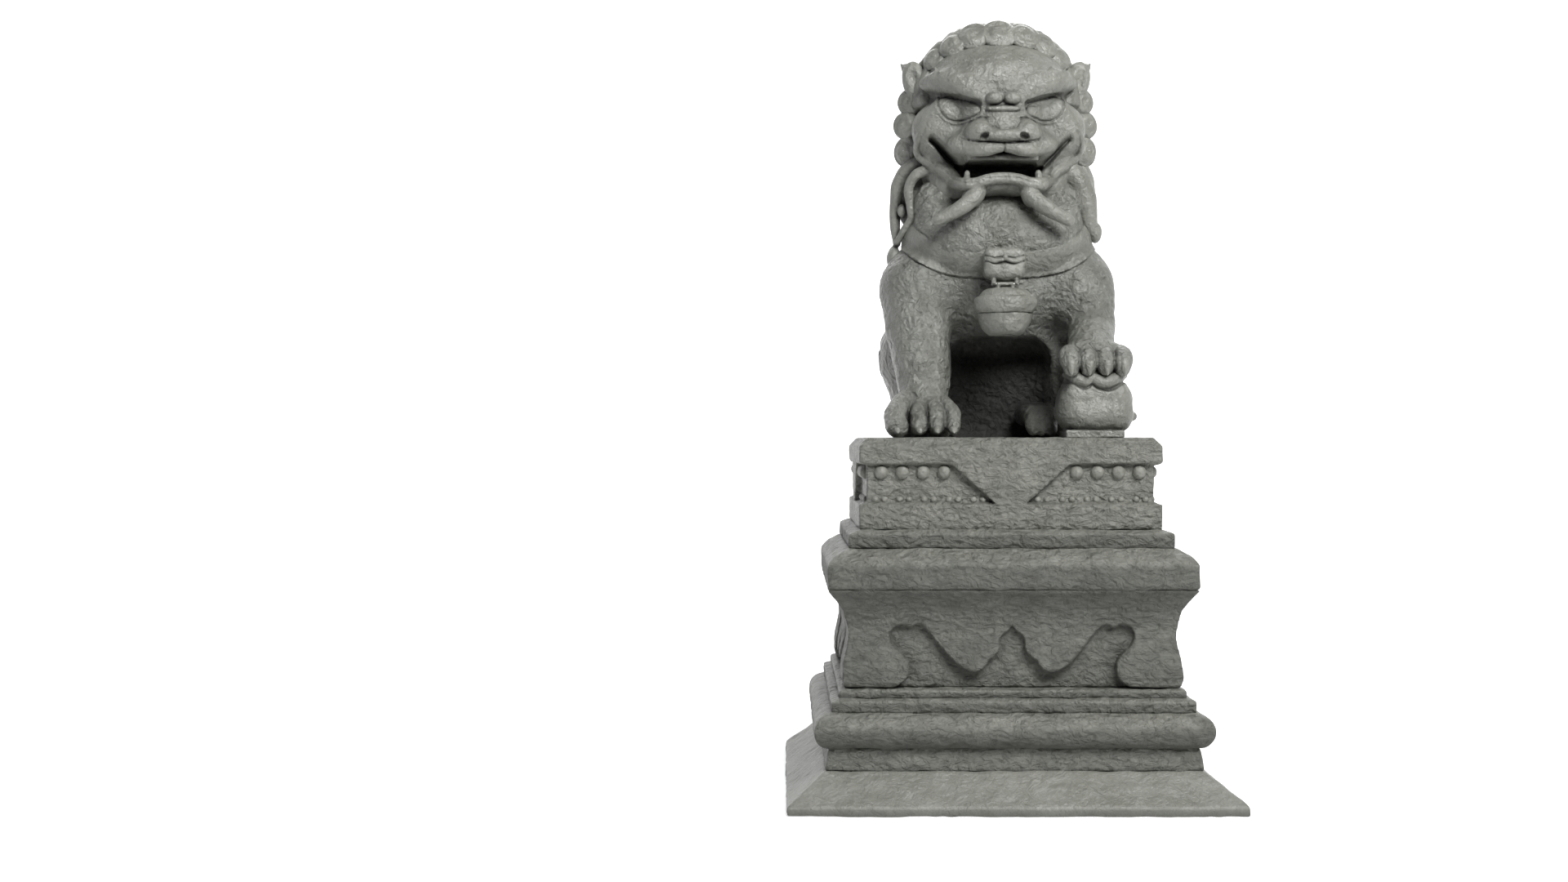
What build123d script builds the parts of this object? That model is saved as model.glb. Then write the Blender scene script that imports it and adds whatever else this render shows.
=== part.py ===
from build123d import *
import os

# Guardian lion on a stepped pedestal, as separate carved stones and fittings.
#
# Frame: millimetres, +Z up, the lion faces -Y, and the origin is the middle of the pedestal's
# underside.  Left and right are the lion's own, so its left paw, on the cub, is on the +X side.
#
# The pedestal is a stack of dressed courses held in line by steel dowels.  The lion is built from
# stones that meet on cut faces, and its bell hangs free on a steel pin below the collar badge.

# ---- driving dimensions -------------------------------------------------------------------

DEPTH_EXTRA = 28.5  # every course reaches this much further front and back than side to side

# Each course: half width at its foot, half width at its head, foot level, head level.
BASE_HALF, BASE_LIP = 500.0, 20.0
SKIRT_HEAD_HALF, SKIRT_TOP = 416.0, 86.0
NECK_HEAD_HALF, NECK_TOP = 407.0, 136.0
TORUS_CORE_HALF, TORUS_TOP = 400.0, 212.0
LOWER_WIDE_HALF, LOWER_WIDE_TOP = 402.0, 241.0
LOWER_NARROW_HALF, LOWER_NARROW_TOP = 384.0, 261.0
CORE_HALF, WAIST_TOP = 350.0, 480.0
CORNICE_HALF, CORNICE_FACE_TOP, CORNICE_TOP = 408.0, 541.0, 571.0
UPPER_WIDE_HALF, UPPER_WIDE_TOP = 362.0, 607.0
UPPER_BLOCK_HALF, UPPER_BLOCK_TOP = 338.0, 671.0
FRIEZE_HALF, FRIEZE_TOP = 321.0, 756.0
CAP_HALF, CAP_FACE_TOP, CAP_TOP = 338.0, 798.0, 817.0
CAP_BEVEL, CAP_DRIP = 19.0, 4.0

BIG_BEAD_R, BIG_BEAD_PITCH, BIG_BEAD_FIRST, BIG_BEADS = 15.5, 46.7, 148.0, 4
SMALL_BEAD_R, SMALL_PAIR_PITCH, SMALL_PAIR_FIRST, SMALL_PAIRS = 7.5, 54.8, 72.0, 5
SMALL_PAIR_HALF_GAP = 10.5
FLAP_HALF_TOP, FLAP_HALF_TIP = 134.0, 33.0

DOWEL_R, DOWEL_HALF, DOWEL_AT, DOWEL_SLACK = 8.0, 14.0, 220.0, 1.0

CUB_BACK = 944.0  # level at which the left paw's stone beds on the cub
NECK_JOINT = 1372.0  # level of the bed joint between the neck and the head stones
COLLAR_AT, COLLAR_TILT = (0.0, -20.0, 1290.0), 26.0
COLLAR_BAND = 52.0

PIN_AT = (0.0, -238.0, 1168.0)  # the bell's swing axis, along X
PIN_R, PIN_SLACK, PIN_HALF = 3.0, 0.06, 31.0
LUG_R, LUG_IN, LUG_OUT = 10.0, 20.0, 31.0
BAIL_HALF = 19.5
BELL_R, BELL_TOP, BELL_GROOVE, BELL_FOOT = 70.0, 1154.0, 1100.0, 1051.0

BIG = 3000.0
os.makedirs("parts", exist_ok=True)
nodes = {}


# ---- small makers --------------------------------------------------------------------------


def slab(half, low, high):
    """A rectangular course with upright faces."""
    return Pos(0, 0, (low + high) / 2) * Box(2 * half, 2 * (half + DEPTH_EXTRA), high - low)


def battered(foot, head, low, high):
    """A rectangular course whose four faces lean in from its foot to its head."""
    below = Pos(0, 0, low) * Rectangle(2 * foot, 2 * (foot + DEPTH_EXTRA))
    above = Pos(0, 0, high) * Rectangle(2 * head, 2 * (head + DEPTH_EXTRA))
    return loft([below, above])


def ellipsoid(at, radii, turn=(0, 0, 0)):
    return Pos(*at) * Rot(*turn) * scale(Sphere(1), by=radii)


def mirrored(shape):
    return mirror(shape, about=Plane.YZ)


def below(level):
    return Pos(0, 0, level - BIG / 2) * Box(BIG, BIG, BIG)


def above(level):
    return Pos(0, 0, level + BIG / 2) * Box(BIG, BIG, BIG)


def limb(stations):
    """A limb or loft through level ellipses: (x, y, z, half width, half depth)."""
    return loft([Pos(x, y, z) * Ellipse(rx, ry) for x, y, z, rx, ry in stations])


def solids_of(shape):
    """The solids of a result, without slivers that a cut may leave."""
    return [s for s in shape.solids() if s.volume > 60.0]


def keep(name, *shapes, largest=False):
    """Stores a node: one solid, or several of the same kind."""
    found = [s for shape in shapes for s in solids_of(shape)]
    if largest:
        found = [max(found, key=lambda s: s.volume)]
    nodes[name] = found
    return found[0] if len(found) == 1 else Compound(found)


# ---- pedestal courses ----------------------------------------------------------------------

base = slab(BASE_HALF, 0, BASE_LIP) + battered(BASE_HALF, SKIRT_HEAD_HALF, BASE_LIP, SKIRT_TOP)
plinth_neck = battered(SKIRT_HEAD_HALF, NECK_HEAD_HALF, SKIRT_TOP, NECK_TOP)

torus_r = (TORUS_TOP - NECK_TOP) / 2
torus_course = fillet(
    slab(TORUS_CORE_HALF + torus_r, NECK_TOP, TORUS_TOP).edges().filter_by(Plane.XY), torus_r - 0.5
)

lower_wide = slab(LOWER_WIDE_HALF, TORUS_TOP, LOWER_WIDE_TOP)
lower_narrow = slab(LOWER_NARROW_HALF, LOWER_WIDE_TOP, LOWER_NARROW_TOP)
waist_core = slab(CORE_HALF, LOWER_NARROW_TOP, WAIST_TOP)
cornice = slab(CORNICE_HALF, WAIST_TOP, CORNICE_FACE_TOP) + battered(
    CORNICE_HALF, UPPER_WIDE_HALF + 3, CORNICE_FACE_TOP, CORNICE_TOP
)
upper_wide = slab(UPPER_WIDE_HALF, CORNICE_TOP, UPPER_WIDE_TOP)
upper_block = slab(UPPER_BLOCK_HALF, UPPER_WIDE_TOP, UPPER_BLOCK_TOP)
frieze_block = slab(FRIEZE_HALF, UPPER_BLOCK_TOP, FRIEZE_TOP)
cap_slab = (
    battered(CAP_HALF - 10, CAP_HALF, FRIEZE_TOP, FRIEZE_TOP + CAP_DRIP)
    + slab(CAP_HALF, FRIEZE_TOP + CAP_DRIP, CAP_FACE_TOP)
    + battered(CAP_HALF, CAP_HALF - CAP_BEVEL, CAP_FACE_TOP, CAP_TOP)
)


def facing_outline():
    """The pierced part of a facing slab, between its two feet: half of it, from the middle out."""
    with BuildLine() as half:
        Polyline((0, LOWER_NARROW_TOP), (0, 401), (8, 389), (21, 379))
        Spline((21, 379), (25, 368), (27, 350), (38, 334), (52, 327))
        Spline((52, 327), (62, 310), (83, 301), (112, 312), (140, 340), (181, 384), (208, 403.5), (221, 395))
        Spline((221, 395), (240, 403.5), (262, 394), (269, 378), (262, 358))
        Spline((262, 358), (236, 333), (226, 310), (236, 282), (259, 265))
        Polyline((259, 265), (259, LOWER_NARROW_TOP), (0, LOWER_NARROW_TOP))
    return make_face(half.line)


def facing(depth_half, width_half_extra):
    """The front facing slab: a cyma profile, two scrolled feet, a cut apron and mitred ends."""
    inner = CORE_HALF
    with BuildLine() as profile:
        Polyline((inner, WAIST_TOP), (CORNICE_HALF, WAIST_TOP))
        Spline((CORNICE_HALF, WAIST_TOP), (385, 451.5), (370, 418), (364, 378), (368.4, 347), (376, 310))
        Spline((376, 310), (377.5, 285), (373, 268), (360, LOWER_NARROW_TOP))
        Polyline((360, LOWER_NARROW_TOP), (inner, LOWER_NARROW_TOP), (inner, WAIST_TOP))
    section = make_face(profile.line)
    # The profile's (out, up) becomes (-Y, Z) on a plane that looks along X.
    plane = Plane(origin=(0, -(depth_half - CORE_HALF), 0), x_dir=(0, -1, 0), z_dir=(-1, 0, 0))
    bar = extrude(plane * section, amount=BASE_HALF, both=True)
    apex = -(depth_half - CORE_HALF) + width_half_extra
    corner = Polyline((0, apex), (-BASE_HALF, apex - BASE_HALF), (BASE_HALF, apex - BASE_HALF), close=True)
    wedge = extrude(make_face(corner), amount=BIG)
    hole = extrude(Plane.XZ * (facing_outline() + mirror(facing_outline(), about=Plane.YZ)), amount=BIG)
    return (bar & wedge) - hole


front_facing = facing(CORE_HALF + DEPTH_EXTRA, 0)
side_facing = facing(CORE_HALF, DEPTH_EXTRA)


def bead_places(step):
    """Places along a face of the beads, large and small; step moves them out on the side faces."""
    big = [BIG_BEAD_FIRST + step + i * BIG_BEAD_PITCH for i in range(BIG_BEADS)]
    small = [
        SMALL_PAIR_FIRST + step + i * SMALL_PAIR_PITCH + side * SMALL_PAIR_HALF_GAP
        for i in range(SMALL_PAIRS)
        for side in (-1, 1)
    ]
    return [s * v for v in big for s in (-1, 1)], [s * v for v in small for s in (-1, 1)]


def bead_rows(face_half, turn, step):
    """The beads of one face, cut flat where they meet the frieze."""
    flat = Pos(0, BIG / 2 - face_half, 0) * Box(BIG, BIG, BIG)
    big, small = bead_places(step)
    big_z = FRIEZE_TOP - BIG_BEAD_R - 1.0
    small_z = UPPER_BLOCK_TOP + SMALL_BEAD_R
    big_row = [Pos(x, -face_half + 3, big_z) * Sphere(BIG_BEAD_R) - flat for x in big]
    small_row = [Pos(x, -face_half + 1, small_z) * Sphere(SMALL_BEAD_R) - flat for x in small]
    return [Rot(0, 0, turn) * b for b in big_row], [Rot(0, 0, turn) * b for b in small_row]


def cloth_flap(face_half, turn):
    """The hanging point of the carved altar cloth, on the frieze's face and flush with the courses."""
    outline = Polyline(
        (-FLAP_HALF_TOP, FRIEZE_TOP),
        (FLAP_HALF_TOP, FRIEZE_TOP),
        (FLAP_HALF_TIP, UPPER_BLOCK_TOP),
        (-FLAP_HALF_TIP, UPPER_BLOCK_TOP),
        close=True,
    )
    plate = extrude(Plane.XZ.offset(face_half) * make_face(outline), amount=CAP_HALF - FRIEZE_HALF)
    return Rot(0, 0, turn) * plate


SIDES = {"front": (FRIEZE_HALF + DEPTH_EXTRA, 0, 0), "right": (FRIEZE_HALF, 270, DEPTH_EXTRA / 2),
         "back": (FRIEZE_HALF + DEPTH_EXTRA, 180, 0), "left": (FRIEZE_HALF, 90, DEPTH_EXTRA / 2)}
big_beads, small_beads = [], []
for side, (face_half, turn, step) in SIDES.items():
    big_row, small_row = bead_rows(face_half, turn, step)
    big_beads += big_row
    small_beads += small_row
    keep(f"cloth_flap_{side}", cloth_flap(face_half, turn))
    piece = front_facing if side in ("front", "back") else side_facing
    keep(f"waist_facing_{side}", Rot(0, 0, turn) * piece)
keep("large_beads", *big_beads)
keep("small_beads", *small_beads)

# Dowels stand in drilled sockets across every bed joint, with room for grout.
courses = {
    "base_skirt": base, "plinth_neck": plinth_neck, "torus_course": torus_course,
    "lower_wide_step": lower_wide, "lower_narrow_step": lower_narrow, "waist_core": waist_core,
    "cornice_slab": cornice, "upper_wide_step": upper_wide, "upper_block": upper_block,
    "frieze_block": frieze_block, "cap_slab": cap_slab,
}
bed_levels = [SKIRT_TOP, NECK_TOP, TORUS_TOP, LOWER_WIDE_TOP, LOWER_NARROW_TOP, WAIST_TOP,
              CORNICE_TOP, UPPER_WIDE_TOP, UPPER_BLOCK_TOP, FRIEZE_TOP]
dowels, sockets = [], []
for i, level in enumerate(bed_levels):
    turn = 1 if i % 2 else -1  # neighbouring beds use the other diagonal, so that sockets never meet
    for s in (-1, 1):
        at = Pos(s * DOWEL_AT, s * turn * DOWEL_AT, level)
        half = DOWEL_HALF if level not in (LOWER_WIDE_TOP, LOWER_NARROW_TOP) else 9.0
        dowels.append(at * Cylinder(DOWEL_R, 2 * half))
        sockets.append(at * Cylinder(DOWEL_R + DOWEL_SLACK, 2 * half + 2 * DOWEL_SLACK))
keep("course_dowels", *dowels)
for name, shape in courses.items():
    for socket in sockets:
        box, reach = shape.bounding_box(), socket.bounding_box()
        if reach.max.Z > box.min.Z and reach.min.Z < box.max.Z:
            shape = shape - socket
    courses[name] = shape

# ---- the lion's body -------------------------------------------------------------------------

TRUNK = [  # level sections of the trunk, from the seat to the neck: x, y, z, half width, half depth
    (0, 110, CAP_TOP, 185, 195),
    (0, 95, 900, 192, 195),
    (0, 60, 1000, 203, 190),
    (0, 30, 1090, 214, 175),
    (0, 5, 1170, 226, 158),
    (0, 0, 1250, 213, 150),
    (0, 8, NECK_JOINT, 175, 138),
]
SKULL = [
    (0, 8, NECK_JOINT, 175, 138),
    (0, -5, 1460, 200, 158),
    (0, -15, 1560, 216, 175),
    (0, -25, 1660, 204, 166),
    (0, -30, 1745, 140, 118),
    (0, -30, 1796, 45, 40),
]


def fatter(stations, extra):
    return limb([(x, y, z, rx + extra, ry + extra) for x, y, z, rx, ry in stations])


belly_hollow = ellipsoid((0, -85, 915), (72, 62, 135))
trunk = limb(TRUNK) - belly_hollow
skull = limb(SKULL)

paw_right = ellipsoid((-197, -220, 850), (90, 98, 62)) - below(CAP_TOP)
paw_left = ellipsoid((195, -240, 978), (78, 90, 44)) - below(CUB_BACK)
UPPER_LEG = [(205, -122, 1102, 66, 66), (203, -85, 1175, 62, 62)]
foreleg_right = mirrored(limb([(197, -200, 870, 54, 56), (201, -165, 1000, 58, 60)] + UPPER_LEG))
foreleg_left = limb([(195, -215, 960, 52, 52), (200, -180, 1030, 56, 58)] + UPPER_LEG)
shoulder = ellipsoid((203, -72, 1165), (70, 84, 86))

cub_slab = Pos(194, -238, CAP_TOP + 8) * Box(132, 128, 16)
cub = ellipsoid((197, -238, 896), (88, 70, 70)) - below(CAP_TOP + 16) - above(CUB_BACK)


def claws_of(at, radii, drop, level, avoid):
    """Four pointed claws round the front of a paw."""
    out = []
    for i in range(4):
        x = (i - 1.5) * radii[0] * 0.48
        y = -radii[1] * (1 - (x / radii[0]) ** 2) ** 0.5
        claw = Pos(at[0] + x, at[1] + y * 0.97, level) * Rot(90 + drop, 0, 0) * Cone(11, 2, 34)
        for other in avoid:
            claw = claw - other
        out.append(claw)
    return out


right_claws = claws_of((-197, -220), (90, 98), 12, 838, [paw_right, below(CAP_TOP)])
left_claws = claws_of((195, -240), (78, 90), 55, 962, [paw_left, cub])

haunch = ellipsoid((186, 95, 950), (90, 165, 150)) - below(CAP_TOP) - trunk
hind_foot = ellipsoid((100, -72, 850), (37, 88, 55)) - below(CAP_TOP) - trunk - haunch

# The neck: a collar band cut from a sleeve round the trunk, tilted down to the front.
sleeve = fatter(TRUNK[3:], 17)
tilted = Pos(*COLLAR_AT) * Rot(COLLAR_TILT, 0, 0) * Box(BIG, BIG, COLLAR_BAND)
collar = (sleeve & tilted) - trunk
shoulders = [shoulder, mirrored(shoulder)]

# The head: upper jaw on the skull, open mouth, lower jaw, teeth, ears, ruff of curls, beard.
MOUTH_ROOF, MOUTH_FLOOR, MOUTH_HALF = 1460.0, 1423.0, 102.0
muzzle = ellipsoid((0, -145, 1522), (118, 98, 72))
mouth = Pos(0, -200, (MOUTH_ROOF + MOUTH_FLOOR) / 2) * Box(2 * MOUTH_HALF, 220, MOUTH_ROOF - MOUTH_FLOOR)
head = skull + muzzle - mouth
jaw = (ellipsoid((0, -92, 1412), (112, 92, 40)) - above(MOUTH_FLOOR)) - head - limb(TRUNK)
teeth = []
for i in range(8):
    x = (i - 3.5) * 18
    y = -140 - 48 * (1 - (x / 100) ** 2) ** 0.5
    teeth.append(Pos(x, y, MOUTH_ROOF - 8) * Box(15, 12, 16))
canines = [Pos(s * 66, -142, MOUTH_FLOOR + 9) * Cone(9, 4, 18) for s in (-1, 1)]

ear = ellipsoid((194, 4, 1690), (29, 26, 38)) - head
ruff = fatter(SKULL[1:5], 29) - head - (Pos(0, 20 - BIG / 2, 1500) * Box(BIG, BIG, BIG))
ruff = ruff - ear - mirrored(ear)
tuft = ellipsoid((104, -168, 1345), (66, 24, 24), (0, 36, 0)) - jaw - head - trunk
ribbon = ellipsoid((214, -20, 1352), (36, 44, 98)) - trunk - head - collar - ruff
TAIL = [(0, 298, CAP_TOP, 50, 30), (0, 286, 950, 74, 36), (0, 246, 1090, 66, 34), (0, 196, 1200, 22, 20)]
tail = limb(TAIL) - trunk

# ---- badge, pin and bell ---------------------------------------------------------------------

px, py, pz = PIN_AT


def across(radius, half):
    """A round bar along the swing axis."""
    return Pos(*PIN_AT) * Rot(0, 90, 0) * Cylinder(radius, 2 * half)


badge = Pos(0, -206, 1214) * Box(92, 76, 68)
badge = fillet(badge.edges(), 9)
for s in (-1, 1):
    mid = s * (LUG_IN + LUG_OUT) / 2
    badge += Pos(mid, py, pz) * Rot(0, 90, 0) * Cylinder(LUG_R, LUG_OUT - LUG_IN)
    badge += Pos(mid, py, pz + 10) * Box(LUG_OUT - LUG_IN, 2 * LUG_R, 20)
badge = badge - sleeve - across(PIN_R, 2 * PIN_HALF)
pin = across(PIN_R, PIN_HALF)

bail = across(LUG_R - 1, BAIL_HALF)
for s in (-1, 1):
    leg_top, leg_foot = pz, BELL_TOP
    bail += Pos(s * (BAIL_HALF - 5.5), py, (leg_top + leg_foot) / 2) * Box(11, 15, leg_top - leg_foot)
bail = bail - across(PIN_R + PIN_SLACK, BIG)

with BuildLine() as cap_line:
    Polyline((0, BELL_TOP), (32, BELL_TOP))
    Spline((32, BELL_TOP), (54, 1143), (62, 1127), (BELL_R, 1114), (66, 1104), (58, BELL_GROOVE))
    Polyline((58, BELL_GROOVE), (46, BELL_GROOVE))
    Spline((46, BELL_GROOVE), (44, 1124), (30, 1138), (0, 1141))
    Polyline((0, 1141), (0, BELL_TOP))
with BuildLine() as cup_line:
    Polyline((46, BELL_GROOVE), (58, BELL_GROOVE))
    Spline((58, BELL_GROOVE), (62, 1088), (58, 1068), (46, BELL_FOOT))
    Polyline((46, BELL_FOOT), (34, BELL_FOOT))
    Spline((34, BELL_FOOT), (44, 1068), (49, 1086), (46, BELL_GROOVE))
bell_cap = Pos(px, py, 0) * revolve(Plane.XZ * make_face(cap_line.line), Axis.Z)
bell_cup = Pos(px, py, 0) * revolve(Plane.XZ * make_face(cup_line.line), Axis.Z)

# ---- dowels of the lion ----------------------------------------------------------------------

lion_dowels, lion_sockets = [], []
DOWEL_PLACES = [(s * 80, 120, CAP_TOP) for s in (-1, 1)] + [(-197, -220, CAP_TOP)]
DOWEL_PLACES += [(s * 70, 10, NECK_JOINT) for s in (-1, 1)]
for x, y, z in DOWEL_PLACES:
    lion_dowels.append(Pos(x, y, z) * Cylinder(DOWEL_R, 2 * DOWEL_HALF))
    lion_sockets.append(Pos(x, y, z) * Cylinder(DOWEL_R + DOWEL_SLACK, 2 * (DOWEL_HALF + DOWEL_SLACK)))
for socket in lion_sockets[:3]:
    courses["cap_slab"] = courses["cap_slab"] - socket
for socket in lion_sockets:
    trunk = trunk - socket
paw_right = paw_right - lion_sockets[2]
head = head - lion_sockets[3] - lion_sockets[4]

# ---- the nodes -------------------------------------------------------------------------------

for name, shape in courses.items():
    keep(name, shape, largest=True)
keep("lion_dowels", *lion_dowels)
keep("trunk", trunk, largest=True)
keep("haunch_left", haunch, largest=True)
keep("haunch_right", mirrored(haunch), largest=True)
keep("hind_foot_left", hind_foot, largest=True)
keep("hind_foot_right", mirrored(hind_foot), largest=True)
keep("foreleg_left", (foreleg_left + shoulders[0]) - trunk - sleeve - paw_left, largest=True)
keep("foreleg_right", (foreleg_right + shoulders[1]) - trunk - sleeve - paw_right, largest=True)
keep("paw_left", paw_left)
keep("paw_right", paw_right)
keep("claws_left", *left_claws)
keep("claws_right", *right_claws)
keep("cub_slab", cub_slab)
keep("cub", cub, largest=True)
keep("tail", tail, largest=True)
keep("collar", collar, largest=True)
keep("head", head, largest=True)
keep("lower_jaw", jaw, largest=True)
keep("upper_teeth", *teeth)
keep("lower_canines", *canines)
keep("ear_left", ear, largest=True)
keep("ear_right", mirrored(ear), largest=True)
keep("mane_curls", ruff, largest=True)
keep("ribbon_left", ribbon, largest=True)
keep("ribbon_right", mirrored(ribbon), largest=True)
keep("beard_tuft_left", tuft, largest=True)
keep("beard_tuft_right", mirrored(tuft), largest=True)
keep("badge", badge, largest=True)
keep("bell_pin", pin)
keep("bell_bail", bail)
keep("bell_cap", bell_cap)
keep("bell_cup", bell_cup)

for name, found in nodes.items():
    shape = found[0] if len(found) == 1 else Compound(found)
    export_step(shape, f"parts/{name}.step")
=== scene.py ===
import bpy, math
import numpy as np
import openvdb
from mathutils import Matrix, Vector


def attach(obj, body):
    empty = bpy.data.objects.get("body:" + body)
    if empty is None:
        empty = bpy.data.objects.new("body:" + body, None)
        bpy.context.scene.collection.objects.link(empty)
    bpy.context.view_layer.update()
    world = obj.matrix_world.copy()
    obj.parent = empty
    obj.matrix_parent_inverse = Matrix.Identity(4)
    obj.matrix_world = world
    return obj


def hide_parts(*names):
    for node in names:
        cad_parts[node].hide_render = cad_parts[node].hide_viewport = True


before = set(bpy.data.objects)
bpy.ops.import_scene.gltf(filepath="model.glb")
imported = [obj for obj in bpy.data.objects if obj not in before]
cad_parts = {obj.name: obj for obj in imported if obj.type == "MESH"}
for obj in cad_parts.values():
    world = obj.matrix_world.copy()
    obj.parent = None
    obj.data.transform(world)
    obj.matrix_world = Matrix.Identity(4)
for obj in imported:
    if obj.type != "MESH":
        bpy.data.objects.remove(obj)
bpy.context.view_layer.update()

# ---- head --------------------------------------------------------------------------------------
# The skull and upper jaw of a guardian lioness, cut from granite with the rest of her and rubbed
# smooth: heavy brows over slanting eyes, a broad flat nose, and lips drawn back to the cheeks.
# The mouth is cut through to the back of the jaw, and a bed joint at the neck holds the head.

MM = 0.001
BOTH = (-1, 1)  # the lion's right side and her left


def linear(hexa):
    """An sRGB hex colour as linear RGBA."""
    out = []
    for i in (1, 3, 5):
        v = int(hexa[i:i + 2], 16) / 255
        out.append(v / 12.92 if v <= 0.04045 else ((v + 0.055) / 1.055) ** 2.4)
    return (*out, 1.0)


def add(tree, kind, links=(), **values):
    """Adds a shader or geometry node, sets its values by name and links (output, input name) pairs."""
    node = tree.nodes.new(kind)
    for name, value in values.items():
        if hasattr(node, name):
            setattr(node, name, value)
        else:
            node.inputs[name.replace("_", " ")].default_value = value
    for output, name in links:
        tree.links.new(output, node.inputs[name])
    return node


SHADE_COLOUR = "#131410"  # the colour that painted shade darkens the stone toward


def stone(name, light, dark, flake, flake_depth, grain_depth, rough, stretch=1.0):
    """A cut stone: mottled colour, darkened by painted shade where the piece's shade attribute is high, with
    flakes left by the chisel (their size in metres), pecked marks between them and a fine grain."""
    m = bpy.data.materials.new(name)
    m.use_nodes = True
    t = m.node_tree
    surface = t.nodes["Principled BSDF"]
    place = add(t, "ShaderNodeTexCoord").outputs["Object"]
    laid = add(t, "ShaderNodeMapping", [(place, "Vector")], Scale=(1.0, 1.0, stretch)).outputs["Vector"]
    cloud = add(t, "ShaderNodeTexNoise", [(laid, "Vector")], Scale=14.0, Detail=7.0, Roughness=0.66)
    fleck = add(t, "ShaderNodeTexNoise", [(place, "Vector")], Scale=330.0, Detail=3.0, Roughness=0.7)
    peck = add(t, "ShaderNodeTexNoise", [(laid, "Vector")], Scale=105.0, Detail=4.0, Roughness=0.6,
        Distortion=0.6)
    chip = add(t, "ShaderNodeTexNoise", [(laid, "Vector")], Scale=0.55 / flake, Detail=4.0, Roughness=0.6,
        Distortion=1.1)
    facet = add(t, "ShaderNodeTexVoronoi", [(laid, "Vector")], feature="SMOOTH_F1", Scale=1.0 / flake,
        Smoothness=0.3)
    both = add(t, "ShaderNodeMath", [(facet.outputs["Distance"], 0), (chip.outputs["Fac"], 2)],
        operation="MULTIPLY_ADD")
    both.inputs[1].default_value = 0.35
    ramp = add(t, "ShaderNodeValToRGB", [(cloud.outputs["Fac"], "Fac")])
    ramp.color_ramp.elements[0].position, ramp.color_ramp.elements[1].position = 0.34, 0.66
    ramp.color_ramp.elements[0].color, ramp.color_ramp.elements[1].color = linear(dark), linear(light)
    # Painted shade: the piece's shade attribute mixes the colour toward a near-black and raises the
    # roughness a little.
    shade_amount = add(t, "ShaderNodeAttribute", attribute_type="GEOMETRY",
        attribute_name="painted_shade").outputs["Fac"]
    shade_amount = add(t, "ShaderNodeMapRange", [(shade_amount, "Value")], From_Min=0.05, From_Max=1.0, To_Min=0.0,
        To_Max=0.965).outputs[0]
    tint = add(t, "ShaderNodeMixRGB", [(shade_amount, "Fac"), (ramp.outputs["Color"], "Color1")],
        Color2=linear(SHADE_COLOUR))
    worn = add(t, "ShaderNodeMath", [(peck.outputs["Fac"], 0)], operation="MULTIPLY_ADD")
    worn.inputs[1].default_value, worn.inputs[2].default_value = 0.30, rough - 0.15
    worn = add(t, "ShaderNodeMath", [(shade_amount, 0), (worn.outputs[0], 2)], operation="MULTIPLY_ADD")
    worn.inputs[1].default_value = 0.4
    fine = add(t, "ShaderNodeBump", [(fleck.outputs["Fac"], "Height")], Strength=0.5,
        Distance=grain_depth)
    middle = add(t, "ShaderNodeBump", [(peck.outputs["Fac"], "Height"),
        (fine.outputs["Normal"], "Normal")],
                 Strength=1.0, Distance=4.0 * grain_depth)
    broad = add(t, "ShaderNodeBump", [(both.outputs[0], "Height"), (middle.outputs["Normal"], "Normal")],
                Strength=1.0, Distance=flake_depth)
    t.links.new(tint.outputs["Color"], surface.inputs["Base Color"])
    t.links.new(worn.outputs[0], surface.inputs["Roughness"])
    t.links.new(broad.outputs["Normal"], surface.inputs["Normal"])
    surface.inputs["Specular IOR Level"].default_value = 0.62
    return m


# Rubbed granite: the rubbing stone leaves it palest and smoothest, with a dull sheen.
rubbed = stone("rubbed_granite", "#80817a", "#6a6b64", 0.018, 0.0060, 0.0009, 0.34)

ARRIS_ANGLE = 58  # degrees; edges sharper than this stay crisp
SHADE_REACHES = (6.0, 14.0, 32.0)  # millimetres looked out to, to tell how closed in a point is for the painted shade
FAR = 40.0  # millimetres; distances past this are all the same to the mesher


def value_noise(p, size, seed):
    """Smooth noise from -1 to 1 at points p, with lumps about size across."""
    rng = np.random.default_rng(seed)
    table = rng.uniform(-1, 1, (32, 32, 32)).astype(np.float32)
    q = np.asarray(p, np.float64) / size
    i = np.floor(q).astype(int)
    f = (q - i).astype(np.float32)
    f = f * f * (3 - 2 * f)
    out = np.zeros(len(q), np.float32)
    for dx in (0, 1):
        for dy in (0, 1):
            for dz in (0, 1):
                w = (f[:, 0] if dx else 1 - f[:, 0]) * (f[:, 1] if dy else 1 - f[:, 1]) * (f[:,
                    2] if dz else 1 - f[:, 2])
                out += w * table[(i[:, 0] + dx) % 32, (i[:, 1] + dy) % 32, (i[:, 2] + dz) % 32]
    return out


def make_piece(name, points, faces, material, node_names, body, painted_shade=None):
    """A finished piece at the origin, standing for its CAD nodes and riding on their body."""
    mesh = bpy.data.meshes.new(name)
    points = np.asarray(points, np.float32)
    faces = np.asarray(faces, np.int32)
    mesh.vertices.add(len(points))
    mesh.vertices.foreach_set("co", points.ravel())
    k = faces.shape[1]
    mesh.loops.add(len(faces) * k)
    mesh.loops.foreach_set("vertex_index", faces.ravel())
    mesh.polygons.add(len(faces))
    mesh.polygons.foreach_set("loop_start", np.arange(0, len(faces) * k, k, dtype=np.int32))
    mesh.update(calc_edges=True)
    mesh.validate()
    mesh.polygons.foreach_set("use_smooth", np.ones(len(mesh.polygons), bool))
    mesh.set_sharp_from_angle(angle=math.radians(ARRIS_ANGLE))
    # The painted shade, kept on the points for the stone's colour to darken by.
    if painted_shade is not None:
        mesh.attributes.new("painted_shade", "FLOAT", "POINT").data.foreach_set("value",
            painted_shade.astype(np.float32))
    obj = bpy.data.objects.new(name, mesh)
    bpy.context.scene.collection.objects.link(obj)
    mesh.materials.append(material)
    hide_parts(*node_names)
    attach(obj, body)
    return obj


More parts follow.
